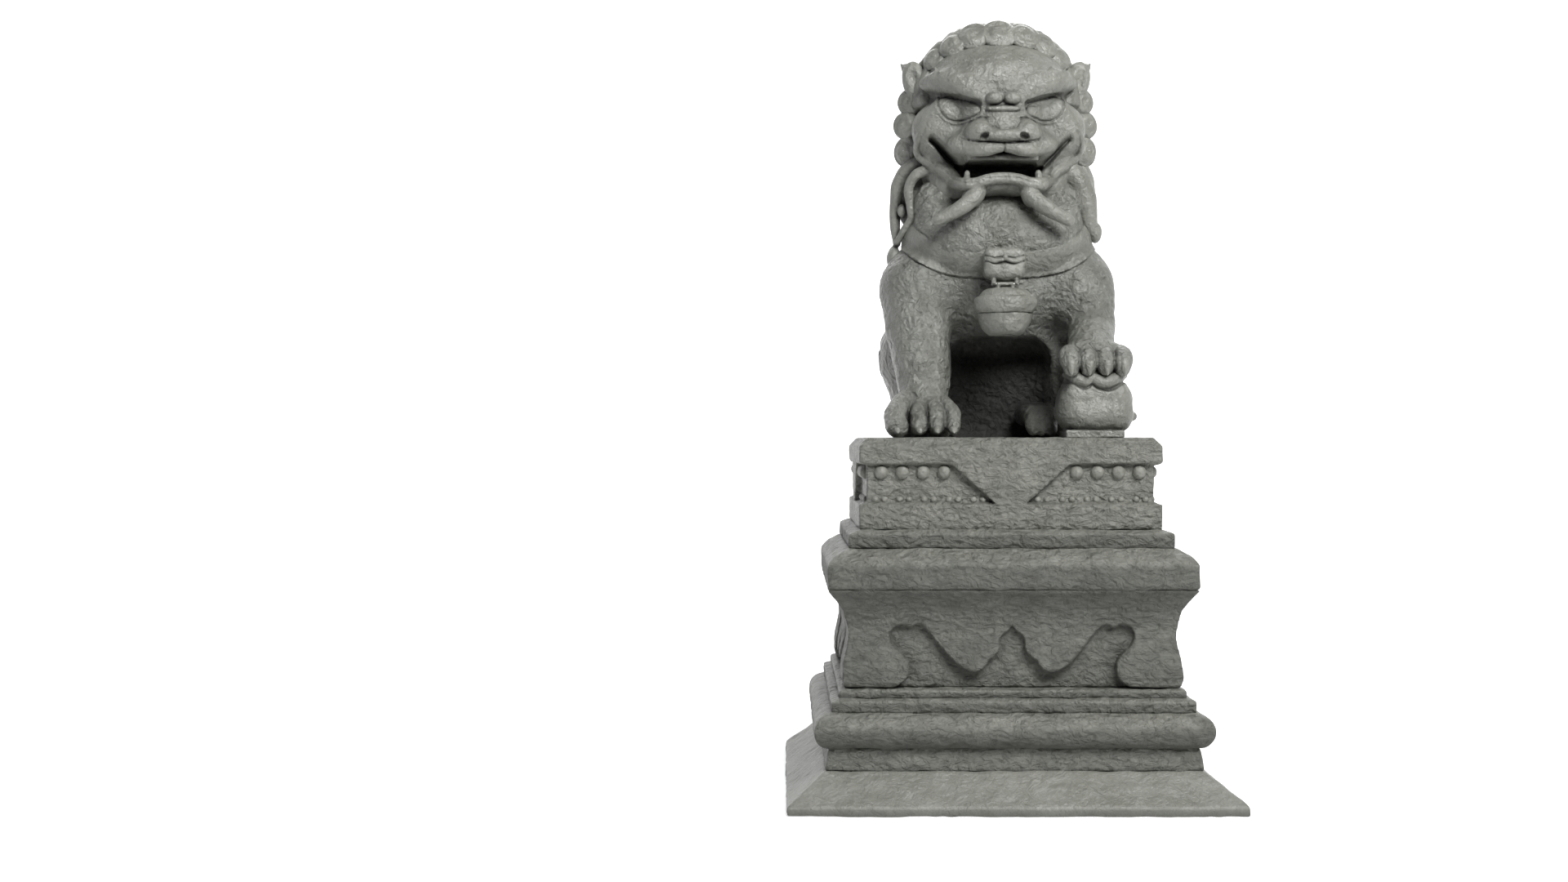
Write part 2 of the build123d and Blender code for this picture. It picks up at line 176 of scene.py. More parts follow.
def normals_of(points, faces):
    """Outward direction at every point."""
    a, b, c = (points[faces[:, i]] for i in (0, 1, 2))
    n = np.cross(b - a, c - a)
    if faces.shape[1] == 4:
        n = np.cross(c - a, points[faces[:, 3]] - b)
    normal = np.zeros_like(points)
    for i in range(faces.shape[1]):
        np.add.at(normal, faces[:, i], n)
    return normal / (np.linalg.norm(normal, axis=1, keepdims=True) + 1e-12)


def worked(points, faces, lumps):
    """Points pushed along their normals by noise: lumps is a list of (size, depth, seed)."""
    normal = normals_of(points, faces)
    push = np.zeros(len(points), np.float32)
    for size, depth, seed in lumps:
        push += depth * value_noise(points, size, seed)
    return points + normal * push[:, None]


def turned(turn):
    """Rotation matrix from degrees about X, then Y, then Z."""
    ax, ay, az = (math.radians(v) for v in turn)
    cx, cy, cz = math.cos(ax), math.cos(ay), math.cos(az)
    sx, sy, sz = math.sin(ax), math.sin(ay), math.sin(az)
    mx = np.array([[1, 0, 0], [0, cx, -sx], [0, sx, cx]])
    my = np.array([[cy, 0, sy], [0, 1, 0], [-sy, 0, cy]])
    mz = np.array([[cz, -sz, 0], [sz, cz, 0], [0, 0, 1]])
    return mz @ my @ mx


def curve(points, steps=8):
    """A smooth line through the points, as a list of points."""
    p = np.array(points, float)
    p = np.vstack([2 * p[0] - p[1], p, 2 * p[-1] - p[-2]])
    out = []
    for i in range(1, len(p) - 2):
        for t in np.linspace(0, 1, steps, endpoint=False):
            out.append(0.5 * ((2 * p[i]) + (p[i + 1] - p[i - 1]) * t
                              + (2 * p[i - 1] - 5 * p[i] + 4 * p[i + 1] - p[i + 2]) * t * t
                              + (3 * p[i] - p[i - 1] - 3 * p[i + 1] + p[i + 2]) * t ** 3))
    return np.array(out + [p[-2]])


class Clay:
    """A block worked as distances on a grid in millimetres: solids are joined to it with a soft
    blend, cut from it, or drawn on its face, and its surface is then made into a mesh."""

    def __init__(self, low, high, step):
        self.step, self.low = step, np.array(low, float)
        count = np.ceil((np.array(high) - self.low) / step).astype(int) + 1
        self.count = count
        self.axes = [(self.low[i] + step * np.arange(count[i])).astype(np.float32) for i in range(3)]
        self.f = np.full(count, FAR, np.float32)

    def window(self, low, high):
        """The part of the grid between two corners, and its x, y and z."""
        a = np.clip(np.floor((np.array(low) - self.low) / self.step).astype(int), 0, self.count)
        b = np.clip(np.ceil((np.array(high) - self.low) / self.step).astype(int) + 1, 0, self.count)
        part = tuple(slice(a[i], max(a[i], b[i])) for i in range(3))
        x = self.axes[0][part[0]][:, None, None]
        y = self.axes[1][part[1]][None, :, None]
        z = self.axes[2][part[2]][None, None, :]
        return part, x, y, z

    def merge(self, part, d, blend, cut):
        """Joins distance d to the block, or cuts it away, with a blend of that width."""
        f = self.f[part]
        if cut:
            f, d = -f, d
        k = max(blend, 0.01)
        h = np.maximum(k - np.abs(f - d), 0) / k
        out = np.minimum(f, d) - h * h * k * 0.25
        self.f[part] = -out if cut else out

    def ball(self, at, radii, turn=(0, 0, 0), blend=12.0, cut=False):
        """An ellipsoid."""
        at, radii = np.array(at, float), np.array(radii, float) * np.ones(3)
        r = turned(turn)
        reach = np.abs(r) @ radii + blend + 4 * self.step
        part, x, y, z = self.window(at - reach, at + reach)
        x, y, z = x - at[0], y - at[1], z - at[2]
        u, v, w = (r[0, i] * x + r[1, i] * y + r[2, i] * z for i in range(3))
        k0 = np.sqrt((u / radii[0]) ** 2 + (v / radii[1]) ** 2 + (w / radii[2]) ** 2)
        k1 = np.sqrt((u / radii[0] ** 2) ** 2 + (v / radii[1] ** 2) ** 2 + (w / radii[2] ** 2) ** 2)
        self.merge(part, (k0 * (k0 - 1) / (k1 + 1e-9)).astype(np.float32), blend, cut)

    def box(self, at, half, turn=(0, 0, 0), edge=4.0, blend=6.0, cut=False):
        """A block with rounded edges."""
        at, half = np.array(at, float), np.array(half, float)
        r = turned(turn)
        reach = np.abs(r) @ half + blend + 4 * self.step
        part, x, y, z = self.window(at - reach, at + reach)
        x, y, z = x - at[0], y - at[1], z - at[2]
        u, v, w = (np.abs(r[0, i] * x + r[1, i] * y + r[2, i] * z) - (half[i] - edge) for i in range(3))
        out = np.sqrt(np.maximum(u, 0) ** 2 + np.maximum(v, 0) ** 2 + np.maximum(w, 0) ** 2)
        d = out + np.minimum(np.maximum(u, np.maximum(v, w)), 0) - edge
        self.merge(part, d.astype(np.float32), blend, cut)

    def tube(self, points, radii, blend=8.0, cut=False):
        """A rounded rod along a line of points, its radius running through radii."""
        p = np.array(points, float)
        r = np.interp(np.linspace(0, 1, len(p)), np.linspace(0, 1, len(np.atleast_1d(radii))),
            np.atleast_1d(radii))
        reach = r.max() + blend + 4 * self.step
        part, x, y, z = self.window(p.min(0) - reach, p.max(0) + reach)
        shape = np.broadcast_shapes(x.shape, y.shape, z.shape)
        d = np.full(shape, 1e3, np.float32)
        for i in range(len(p) - 1):
            a, b = p[i], p[i + 1]
            s = b - a
            n = float(s @ s) + 1e-9
            t = np.clip(((x - a[0]) * s[0] + (y - a[1]) * s[1] + (z - a[2]) * s[2]) / n, 0, 1)
            q = np.sqrt((x - a[0] - t * s[0]) ** 2 + (y - a[1] - t * s[1]) ** 2 + (z - a[2] - t * s[2]) ** 2)
            d = np.minimum(d, q - (r[i] + t * (r[i + 1] - r[i])))
        self.merge(part, d.astype(np.float32), blend, cut)

    def draw(self, line, width, depth, behind=0.0, view="front"):
        """Cuts a line into the front, given as (x, z) points, or raises it where depth is negative.
        It reaches every surface in front of y = behind; seen from the back or from a side (points
        are then (y, z)) it reaches those past that y or x."""
        p = np.array(line, float)
        m = 3 * width
        reach = {"front": (-500, behind), "back": (behind, 500), "left": (behind, 500),
            "right": (-500, behind)}[view]
        if view in ("front", "back"):
            part, x, y, z = self.window((p[:, 0].min() - m, reach[0], p[:, 1].min() - m),
                (p[:, 0].max() + m, reach[1], p[:, 1].max() + m))
            u, lay = x[:, 0, 0][:, None], (slice(None), None)
        else:
            part, x, y, z = self.window((reach[0], p[:, 0].min() - m, p[:, 1].min() - m),
                (reach[1], p[:, 0].max() + m, p[:, 1].max() + m))
            u, lay = y[0, :, 0][:, None], (None, slice(None))
        z = z[0, 0][None, :]
        d = np.full((u.shape[0], z.shape[1]), 1e3)
        for a, b in zip(p[:-1], p[1:]):
            s = b - a
            t = np.clip(((u - a[0]) * s[0] + (z - a[1]) * s[1]) / (s @ s + 1e-9), 0, 1)
            d = np.minimum(d, np.hypot(u - a[0] - t * s[0], z - a[1] - t * s[1]))
        self.f[part] += (depth * np.exp(-(d / width) ** 2)).astype(np.float32)[(*lay, slice(None))]

    def press(self, line, soft, depth, behind=0.0):
        """Lowers the front inside a closed (x, z) outline by depth, or raises it."""
        p = np.array(line, float)
        part, x, y, z = self.window((p[:, 0].min() - 9, -500, p[:, 1].min() - 9),
            (p[:, 0].max() + 9, behind, p[:, 1].max() + 9))
        d = polygon_distance(p, x[:, 0, 0][:, None], z[0, 0][None, :])
        self.f[part] += (depth * np.clip(0.5 - d / soft, 0, 1)).astype(np.float32)[:, None, :]

    def level(self, z, keep_above=True):
        """Cuts the block off flat at a level."""
        gap = z - self.axes[2] if keep_above else self.axes[2] - z
        self.f = np.maximum(self.f, gap[None, None, :])

    def front(self, x, z, lift=0.0):
        """The foremost (x, y, z) of the block at x and z, moved forward by lift."""
        i = int(round((x - self.axes[0][0]) / self.step))
        k = int(round((z - self.axes[2][0]) / self.step))
        j = int(np.argmax(self.f[i, :, k] < 0))
        return (x, float(self.axes[1][j]) - lift, z)

    def painted_shade(self, points, normals):
        """How far each point is closed in by the block itself, from 0 to 1, used as painted shade."""
        total = np.zeros(len(points), np.float32)
        for d in SHADE_REACHES:
            q = (points + normals * d - [a[0] for a in self.axes]) / self.step
            i = [np.clip(np.round(q[:, n]).astype(int), 0, self.f.shape[n] - 1) for n in range(3)]
            inside = np.all((q > 0) & (q < np.array(self.f.shape) - 1), axis=1)
            total += np.where(inside, np.clip(1 - self.f[i[0], i[1], i[2]] / d, 0, 1),
                0) / len(SHADE_REACHES)
        return total

    def mesh(self):
        """The surface as points in metres and quads with outward normals."""
        f = self.f.copy()
        for i in range(3):
            for end in (0, -1):
                part = [slice(None)] * 3
                part[i] = end
                f[tuple(part)] = np.maximum(f[tuple(part)], 0.4 * self.step)
        grid = openvdb.FloatGrid(FAR)
        grid.copyFromArray(np.clip(f, -FAR, FAR))
        points, quads = grid.convertToQuads()
        points = points.astype(np.float64) * self.step + self.low
        quads = quads.astype(np.int32)
        a, c = points[quads[:, 0]], points[quads[:, 2]]
        b, d = points[quads[:, 1]], points[quads[:, 3]]
        volume = float((np.cross(c - a, d - b) * (a + c)).sum())
        return points * MM, quads[:, ::-1] if volume < 0 else quads


def polygon_distance(p, x, z):
    """Distance from (x, z) to a closed outline, negative inside."""
    d = np.full(np.broadcast_shapes(x.shape, z.shape), 1e6)
    inside = np.zeros(d.shape, bool)
    for a, b in zip(p, np.roll(p, -1, 0)):
        s = b - a
        t = np.clip(((x - a[0]) * s[0] + (z - a[1]) * s[1]) / (s @ s + 1e-9), 0, 1)
        d = np.minimum(d, np.hypot(x - a[0] - t * s[0], z - a[1] - t * s[1]))
        crosses = (a[1] > z) != (b[1] > z)
        inside ^= crosses & (x < a[0] + (z - a[1]) * s[0] / (s[1] if s[1] else 1e-9))
    return np.where(inside, -d, d)


def carve(name, clay, lumps, material, node_names, body="statue", hollow=None):
    """Finishes a block of clay as a piece, its surface left uneven by the chisel."""
    points, faces = clay.mesh()
    # Painted shade: how closed in each point is, and how deep it lies in the hollow given, darken the
    # stone's colour.
    painted_shade = clay.painted_shade(points / MM, normals_of(points, faces))
    if hollow is not None:
        painted_shade = 1 - (1 - painted_shade) * (1 - hollow(points / MM))
    points = worked(points, faces, [(s * MM, d * MM, seed) for s, d, seed in lumps])
    return make_piece(name, points, faces, material, node_names, body, painted_shade)


def part_of(block, low, high, inset=0.0):
    """The part of a block between two corners; an inset part lies that much under the surface, so
    that two parts may lap over a joint."""
    part, x, y, z = block.window(low, high)
    out = Clay.__new__(Clay)
    out.step, out.low = block.step, np.array([x.min(), y.min(), z.min()], float)
    out.axes = [x[:, 0, 0], y[0, :, 0], z[0, 0]]
    out.f = block.f[part] + np.float32(inset)
    return out


head = Clay((-222, -276, 1366), (222, 20, 1782), 2.5)
head.ball((0, 4, 1620), (184, 150, 132), blend=1)
head.ball((0, -12, 1500), (200, 142, 150), blend=30)
head.box((0, 0, 1420), (166, 124, 70), edge=60, blend=30)
head.ball((0, -60, 1660), (161, 112, 88), blend=26)
head.ball((0, -112, 1640), (134, 74, 66), blend=30)
head.ball((0, -120, 1560), (100, 84, 70), blend=30)
for s in BOTH:
    head.ball((s * 132, -84, 1540), (72, 64, 68), blend=26)
    head.ball((s * 66, -142, 1500), (72, 66, 34), (0, s * 12, 0), blend=24)
# Brows: heavy folds that hang over slanting almond eyes, a drawn edge round each eye.
for s in BOTH:
    brow = curve([(s * 172, -84, 1650), (s * 140, -122, 1650), (s * 98, -150, 1638), (s * 60, -166, 1618),
        (s * 44, -172, 1606)])
    head.tube(brow, [14, 24, 29, 28, 22], blend=24)
    for dy in (0, -30):
        head.tube(curve([(s * 168, -104 + dy, 1611), (s * 132, -140 + dy, 1606),
            (s * 92, -166 + dy, 1597), (s * 58, -186 + dy, 1587)]), [9, 12, 13, 9], blend=6, cut=True)
    head.ball((s * 100, -100, 1577), (78, 46, 48), (0, s * 12, s * -20), blend=6)
    head.tube(curve([(s * 126, -150, 1650), (s * 114, -160, 1662), (s * 117, -156, 1678)]), [8, 7, 2],
        blend=4)
    head.tube(curve([(s * 160, -114, 1660), (s * 149, -130, 1670), (s * 153, -124, 1684)]), [7, 6, 2],
        blend=4)
    head.ball((s * 20, -199, 1598), (20.5, 18, 14), blend=2)
    almond = np.array([(26, 30), (-9, 22), (-37, 9.5), (-46, -5), (-40, -19), (-14, -27), (17, -27),
        (39, -11), (48, 11), (44, 26), (26, 30)])
    almond = curve(almond * (s, 1) + (s * 99, 1581))
    head.press(almond, 10, -3.0, -70)
    head.draw(almond, 2.2, 3.4, -70)
    head.draw(curve((np.array([(47, 31), (53, 12), (44, -13), (19, -32), (-15, -32), (-44, -23),
        (-51, -5)]) * (s, 1)) + (s * 99, 1581)), 2.6, -3.0, -70)

# Nose: a broad bridge between two wings, with a drawn edge round its top and small nostrils.
head.ball((0, -172, 1534), (54, 46, 34), blend=14)
head.ball((0, -200, 1574), (40, 12, 8), blend=2)
head.ball((0, -196, 1511), (72, 42, 19), blend=12)
for s in BOTH:
    head.ball((s * 56, -182, 1520), (38, 46, 31), (0, s * 16, 0), blend=12)
    wing = curve([(s * 37, 1552), (s * 62, 1553), (s * 85, 1534), (s * 91, 1514), (s * 80, 1501)])
    head.draw(wing, 2.2, 2.4, -120)
    head.ball(head.front(s * 46, 1508, -2), (11, 16, 7), (0, s * 26, 0), blend=4, cut=True)
head.draw(curve([(-40, 1552), (-34, 1539), (-24, 1529), (0, 1524), (24, 1529), (34, 1539), (40, 1552)]),
    2.2, 2.6, -120)
# Upper lip: two swelling lobes under the nose, a cusp between them, and the plate of the gum below.
for s in BOTH:
    lip = curve([(s * 8, -210, 1485), (s * 42, -211, 1480), (s * 74, -197, 1481), (s * 100, -172, 1489)])
    head.tube(lip, [12, 16, 15, 10], blend=9)
head.draw(curve([(-96, 1505), (-60, 1497), (0, 1494), (60, 1497), (96, 1505)]), 2.2, 3.0, -120)
head.draw([(0, 1494), (0, 1466)], 2.2, 2.6, -120)
head.box((0, -150, 1461), (82, 44, 12), edge=8, blend=4)
# The mouth, its slits running up to the cheeks, and the hollow behind the teeth.
head.box((0, -170, 1436), (90, 110, 12), edge=6, blend=3, cut=True)
head.box((0, -110, 1438), (84, 90, 20), edge=9, blend=3, cut=True)
# Lower lip: one thick rolled band from cheek to cheek, drawn with an inner line.
head.ball((0, -124, 1402), (110, 66, 25), blend=8)
side = [head.front(x, z, lift) for x, z,
    lift in ((176, 1536, -8), (186, 1514, -9), (184, 1486, -6), (158, 1461, -3), (130, 1440, -1),
    (110, 1416, 0))]
side += [(88, -184, 1402), (60, -194, 1404), (34, -200, 1412), (0, -201, 1415)]
rim = curve(side + [(-x, y, z) for x, y, z in side[-2::-1]])
head.tube(rim, [9, 13, 15, 15, 15, 15, 15, 14, 13, 13, 13, 14, 15, 15, 15, 15, 15, 13, 9], blend=6)
head.draw(rim[:, [0, 2]] + (0, 1), 2.0, 3.0, -60)
for s in BOTH:
    slit = curve([(s * 86, 1438), (s * 102, 1452), (s * 124, 1476), (s * 146, 1500), (s * 160, 1513)])
    head.draw(slit, 7.0, 26.0 if s < 0 else 15.0, -40)
    head.ball((s * 82, -184, 1423), (7.5, 7.5, 12), (0, 0, s * 8), blend=6)
    head.tube(curve([(s * 50, -170, 1402), (s * 60, -188, 1380)]), [17, 19], blend=10)
head.ball((0, -176, 1372), (46, 50, 18), blend=6, cut=True)
head.level(1368)
# The jaw is parted from the skull along the mouth; the two lap a little over the joint.
MOUTH_JOINT, MOUTH_LAP = 1440, 4
FACE_TOOLING = [(46, 1.0, 3), (15, 0.45, 4)]
skull = part_of(head, (-222, -276, MOUTH_JOINT), (222, 20, 1782))
carve("head", skull, FACE_TOOLING, rubbed, ["head", "upper_teeth"])
jaw = part_of(head, (-222, -276, 1366), (222, 20, MOUTH_JOINT + MOUTH_LAP), 0.1)
carve("jaw", jaw, FACE_TOOLING, rubbed, ["lower_jaw", "lower_canines"])

# Beard tufts on either side of the chin, lying out over the chest.
for s, side in ((1, "left"), (-1, "right")):
    low, high = sorted((s * 24, s * 176))
    tuft = Clay((low, -226, 1290), (high, -130, 1410), 1.8)
    tuft.tube(curve([(s * 52, -170, 1400), (s * 62, -190, 1378), (s * 98, -206, 1346),
        (s * 150, -200, 1317)]), [16, 20, 18, 13.5], blend=1)
    tuft.ball((s * 70, -170, 1372), (24, 30, 22), blend=10)
    carve(f"beard_tuft_{side}", tuft, [(20, 0.8, 6)], rubbed, [f"beard_tuft_{side}"])

# ---- mane --------------------------------------------------------------------------------------
# Snail curls in rows over the crown, the temples and the back of the head.  They are granite, in
# one with the head; here each is set on a cap of stone that stands for the ground between them.

cap = Clay((-250, -150, 1400), (250, 190, 1802), 3.0)
cap.ball((0, 2, 1610), (208, 148, 180), blend=1)
cap.ball((0, 40, 1500), (205, 118, 130), blend=40)
cap.box((0, -252, 1648), (400, 180, 92), (-12, 0, 0), edge=10, blend=8, cut=True)
cap.box((0, -200, 1480), (400, 200, 120), edge=10, blend=12, cut=True)
carve("mane_ground", cap, [(40, 2.0, 5)], rubbed, ["mane_curls"])


def geometry_repeat(name, unit, seats, facings, sizes, spin, material, node_names, body="statue"):
    """Sets a copy of the unit mesh on each seat, its own Z along the facing, scaled and turned a
    little at random, and keeps the result as a plain mesh."""
    bed = bpy.data.meshes.new(name)
    bed.from_pydata([tuple(v) for v in seats], [], [])
    bed.attributes.new("facing", "FLOAT_VECTOR", "POINT").data.foreach_set("vector",
        np.array(facings, np.float32).ravel())
    bed.attributes.new("size", "FLOAT_VECTOR", "POINT").data.foreach_set("vector",
        np.array(sizes, np.float32).ravel())
    obj = bpy.data.objects.new(name, bed)
    bpy.context.scene.collection.objects.link(obj)
    bpy.context.scene.collection.objects.link(unit)
    group = bpy.data.node_groups.new(name + "_setting", "GeometryNodeTree")
    face = group.interface
    face.new_socket("Seats", in_out="INPUT", socket_type="NodeSocketGeometry")
    face.new_socket("Unit", in_out="INPUT", socket_type="NodeSocketObject")
    face.new_socket("Spin", in_out="INPUT", socket_type="NodeSocketFloat")
    face.new_socket("Stone", in_out="INPUT", socket_type="NodeSocketMaterial")
    face.new_socket("Pieces", in_out="OUTPUT", socket_type="NodeSocketGeometry")
    given = add(group, "NodeGroupInput").outputs
    facing = add(group, "GeometryNodeInputNamedAttribute", data_type="FLOAT_VECTOR",
        Name="facing").outputs["Attribute"]
    size = add(group, "GeometryNodeInputNamedAttribute", data_type="FLOAT_VECTOR",
        Name="size").outputs["Attribute"]
    aligned = add(group, "FunctionNodeAlignRotationToVector", [(facing, "Vector")],
        axis="Z").outputs["Rotation"]
    chance = add(group, "FunctionNodeRandomValue", data_type="FLOAT", Seed=7)
    chance.inputs[2].default_value, chance.inputs[3].default_value = -1.0, 1.0
    angle = add(group, "ShaderNodeMath", [(chance.outputs[1], 0), (given["Spin"], 1)],
        operation="MULTIPLY").outputs[0]
    about = add(group, "ShaderNodeCombineXYZ", [(angle, "Z")]).outputs[0]
    about = add(group, "FunctionNodeEulerToRotation", [(about, "Euler")]).outputs[0]
    spun = add(group, "FunctionNodeRotateRotation", [(aligned, "Rotation"), (about, "Rotate By")],
        rotation_space="LOCAL").outputs[0]
    shape = add(group, "GeometryNodeObjectInfo", [(given["Unit"], "Object")]).outputs["Geometry"]
    placed = add(group, "GeometryNodeInstanceOnPoints",
        [(given["Seats"], "Points"), (shape, "Instance"), (spun, "Rotation"), (size, "Scale")])
    real = add(group, "GeometryNodeRealizeInstances", [(placed.outputs[0], "Geometry")])
    done = add(group, "GeometryNodeSetMaterial",
        [(real.outputs[0], "Geometry"), (given["Stone"], "Material")])
    add(group, "NodeGroupOutput", [(done.outputs[0], "Pieces")])
    mod = obj.modifiers.new("setting", "NODES")
    mod.node_group = group
    for item in group.interface.items_tree:
        if item.name in ("Unit", "Spin", "Stone"):
            mod[item.identifier] = {"Unit": unit, "Spin": spin, "Stone": material}[item.name]
    made = bpy.data.meshes.new_from_object(obj.evaluated_get(bpy.context.evaluated_depsgraph_get()))
    obj.modifiers.clear()
    obj.data = made
    made.name = name
    made.polygons.foreach_set("use_smooth", np.ones(len(made.polygons), bool))
    bpy.data.objects.remove(unit)
    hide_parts(*node_names)
    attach(obj, body)
    return obj


def unit_object(name, points, faces):
    """One unit to be repeated; geometry_repeat uses it up."""
    mesh = bpy.data.meshes.new(name)
    mesh.from_pydata([tuple(p) for p in points], [], [tuple(int(i) for i in f) for f in faces])
    return bpy.data.objects.new(name, mesh)


def lathe(profile, steps=64, wobble=None):
    """A profile of (radius, height) points turned about Z: points and quads, open at both ends of
    the profile only where its radius is not nearly zero."""
    points, faces = [], []
    for j, (r, h) in enumerate(profile):
        for i in range(steps):
            a = 2 * math.pi * i / steps
            k, lift = wobble(r, a) if wobble else (1.0, 0.0)
            points.append((r * k * math.cos(a), r * k * math.sin(a), h + lift))
    for j in range(len(profile) - 1):
        for i in range(steps):
            i2 = (i + 1) % steps
            faces.append((j * steps + i, j * steps + i2, (j + 1) * steps + i2, (j + 1) * steps + i))
    return np.array(points), np.array(faces)


# Snail curls: each is a low dome with a spiral channel running in to its middle.
CURL_RINGS = [(math.sin(t), 0.58 * math.cos(t) - 0.1) for t in np.linspace(math.pi / 2 + 0.15, 0.015, 22)]


def spiral(r, a):
    """Width and lift of a curl's dome at radius r and angle a."""
    return 1.0, 0.075 * math.cos(a - r * 8.5) * min(1.0, 3.2 * r) * (1.0 if r < 0.9 else 0.3)


curl = unit_object("curl", *lathe(CURL_RINGS, 40, spiral))
seats, facings, sizes = [], [], []


def set_curl(at, out, size):
    """Marks a curl's seat, the way it faces and its size; it is a little flatter than round."""
    seats.append(np.array(at) * MM)
    facings.append(out)
    sizes.append(np.array([size, size, size * 0.85]) * MM)


def on_cap(azimuth, height):
    """A point of the cap of stone and its outward direction; azimuth 0 faces back, 90 left."""
    centre, radii = np.array([0, 2, 1606.0]), np.array([208, 146, 168.0])
    if height < 0:
        radii = np.array([208, 150, 400.0])
    out = np.array([math.sin(azimuth) * math.cos(height), math.cos(azimuth) * math.cos(height),
        math.sin(height)])
    n = out / radii
    return centre + radii * out, n / np.linalg.norm(n)


# The front row follows the hairline over the brow; two columns stand beside each cheek.
for x, y, z, size in ((0, -98, 1766, 44), (60, -90, 1762, 41), (108, -78, 1744, 37),
        (147, -56, 1718, 35)):
    for s in ((1,) if x == 0 else BOTH):
        set_curl((s * x, y, z), (s * x / 170, -1.0, 0.75), size)
        sizes[-1][2] *= 0.7
for x, y, z, size in ((0, -52, 1786, 36), (56, -48, 1782, 35), (103, -40, 1765, 34), (142, -24, 1739, 32),
        (172, 0, 1706, 30)):
    for s in ((1,) if x == 0 else BOTH):
        set_curl((s * x, y, z), (s * x / 120, -0.3, 1.0), size)
for x, y, z, size in ((207, -20, 1618, 33), (216, -16, 1563, 34), (212, -16, 1500, 38)):
    for s in BOTH:
        set_curl((s * x, y, z), (s * 0.62, -0.8, 0.05), size)
for height, count, start, size in ((1.30, 6, 120, 32), (0.98, 9, 84, 34), (0.62, 10, 84, 35),
        (0.26, 10, 78, 35), (-0.03, 10, 78, 35),
                                   (-0.17, 10, 76, 35), (-0.31, 9, 74, 35), (-0.44, 8, 70, 35)):
    for i in range(count):
        seat, out = on_cap(math.radians(-start + 2 * start * i / (count - 1)), height)
        set_curl(seat, out, size)
geometry_repeat("mane_curls", curl, seats, facings, sizes, 2.4, rubbed, [])

# Ears: pointed leaves set out from the temples, hollow in front.
for s, side in ((1, "left"), (-1, "right")):
    low, high = sorted((s * 146, s * 238))
    ear = Clay((low, -60, 1604), (high, 60, 1722), 1.6)
    ear.ball((s * 192, -24, 1664), (31, 22, 50), (0, s * 12, 0), blend=1)
    ear.tube([(s * 200, -18, 1684), (s * 216, -12, 1700), (s * 226, -8, 1709)], [22, 10, 2.5], blend=8)
    ear.ball((s * 199, -50, 1668), (14, 15, 34), (0, s * 14, 0), blend=6, cut=True)
    carve(f"ear_{side}", ear, [(20, 0.8, 8)], rubbed, [f"ear_{side}"])

# ---- trunk and neck band -----------------------------------------------------------------------
# The body of the seated beast is one mass: a deep round chest running down into the forelegs, the
# belly hollowed out between them, round haunches behind.  The right foreleg stands straight on the
# slab, the left is bent forward with its paw, claws out, on the cub.

# Pecked granite: the point leaves it full of small pits, a little darker than rubbed stone.
pecked = stone("pecked_granite", "#7c7d77", "#63645d", 0.015, 0.0130, 0.0012, 0.34)
SLAB_TOP = 817  # the level of the top of the pedestal, where feet, tail and cub are cut flat

body = Clay((-300, -344, 812), (300, 332, 1424), 3.0)
body.ball((0, 128, 905), (176, 188, 160), blend=1)
body.ball((0, 84, 1040), (196, 176, 170), blend=30)
body.ball((0, 4, 1168), (226, 152, 128), blend=40)
body.ball((0, 16, 1352), (202, 146, 112), blend=40)
body.tube(curve([(0, 322, 900), (0, 306, 1010), (0, 262, 1110), (0, 206, 1200), (0, 176, 1300)]),
    [8, 9, 9, 8, 6], blend=26)
for s in BOTH:
    body.ball((s * 184, 92, 1012), (91, 142, 116), blend=14)
    body.ball((s * 172, 80, 896), (70, 130, 100), blend=30)
    body.ball((s * 176, -30, 1176), (96, 104, 104), blend=40)
body.box((6, -250, 926), (122, 280, 128), edge=56, blend=12, cut=True)
body.tube(curve([(-200, -66, 1160), (-192, -100, 1076)]), [74, 76], blend=34)
body.tube(curve([(-192, -100, 1076), (-184, -138, 996), (-183, -168, 925), (-184, -190, 890)]),
    [76, 68, 57, 58], blend=7)
body.tube(curve([(200, -66, 1160), (214, -96, 1098), (214, -118, 1056)]), [70, 58, 48], blend=30)
body.tube(curve([(214, -112, 1066), (206, -170, 1044), (198, -228, 1003)]), [50, 54, 55], blend=16)
body.ball((0, -30, 1284), (220, 160, 128), blend=10)
for x, r in ((-250, 27), (-200, 21), (-160, 20.5), (-123, 19)):
    root = -184 + 0.5 * (x + 184)
    body.tube(curve([(root, -198, 916), (0.6 * root + 0.4 * x, -228, 898), (x, -262, 870),
        (x, -290, 842)]), [r * 0.6, r * 0.85, r, r * 0.95], blend=4)
body.ball((-186, -206, 838), (68, 54, 34), blend=5)
body.ball((199, -258, 1014), (72, 44, 28), blend=8)
body.ball((200, -262, 986), (64, 34, 34), blend=8)
for x in (141, 180, 219, 258):
    root = 198 + 0.66 * (x - 198)
    body.tube(curve([(root, -232, 1008), (x, -280, 1005), (x, -305, 990), (x, -310, 972)]),
        [19, 22.5, 22.5, 16.5], blend=2)
for s in BOTH:
    for x in ((74, 95, 116) if s > 0 else (128, 148, 168)):
        body.tube(curve([(s * x, -20, 872), (s * x, -110, 868), (s * x, -146, 836)]), [30, 20, 14],
            blend=5)
    body.ball((s * 146, -64, 1362), (56, 58, 62), blend=16)
    body.draw(curve([(s * 128, 1402), (s * 172, 1378), (s * 199, 1334), (s * 192, 1304),
        (s * 166, 1282)]), 2.2, 3.6, -30)
    spin = [(104 + (8 + 9.5 * t) * math.cos(t),
        1012 + (8 + 9.5 * t) * math.sin(t)) for t in np.linspace(0, 8.5, 60)]
    body.draw(spin, 4.5, 5.0, s * 200, "left" if s > 0 else "right")
body.level(SLAB_TOP)

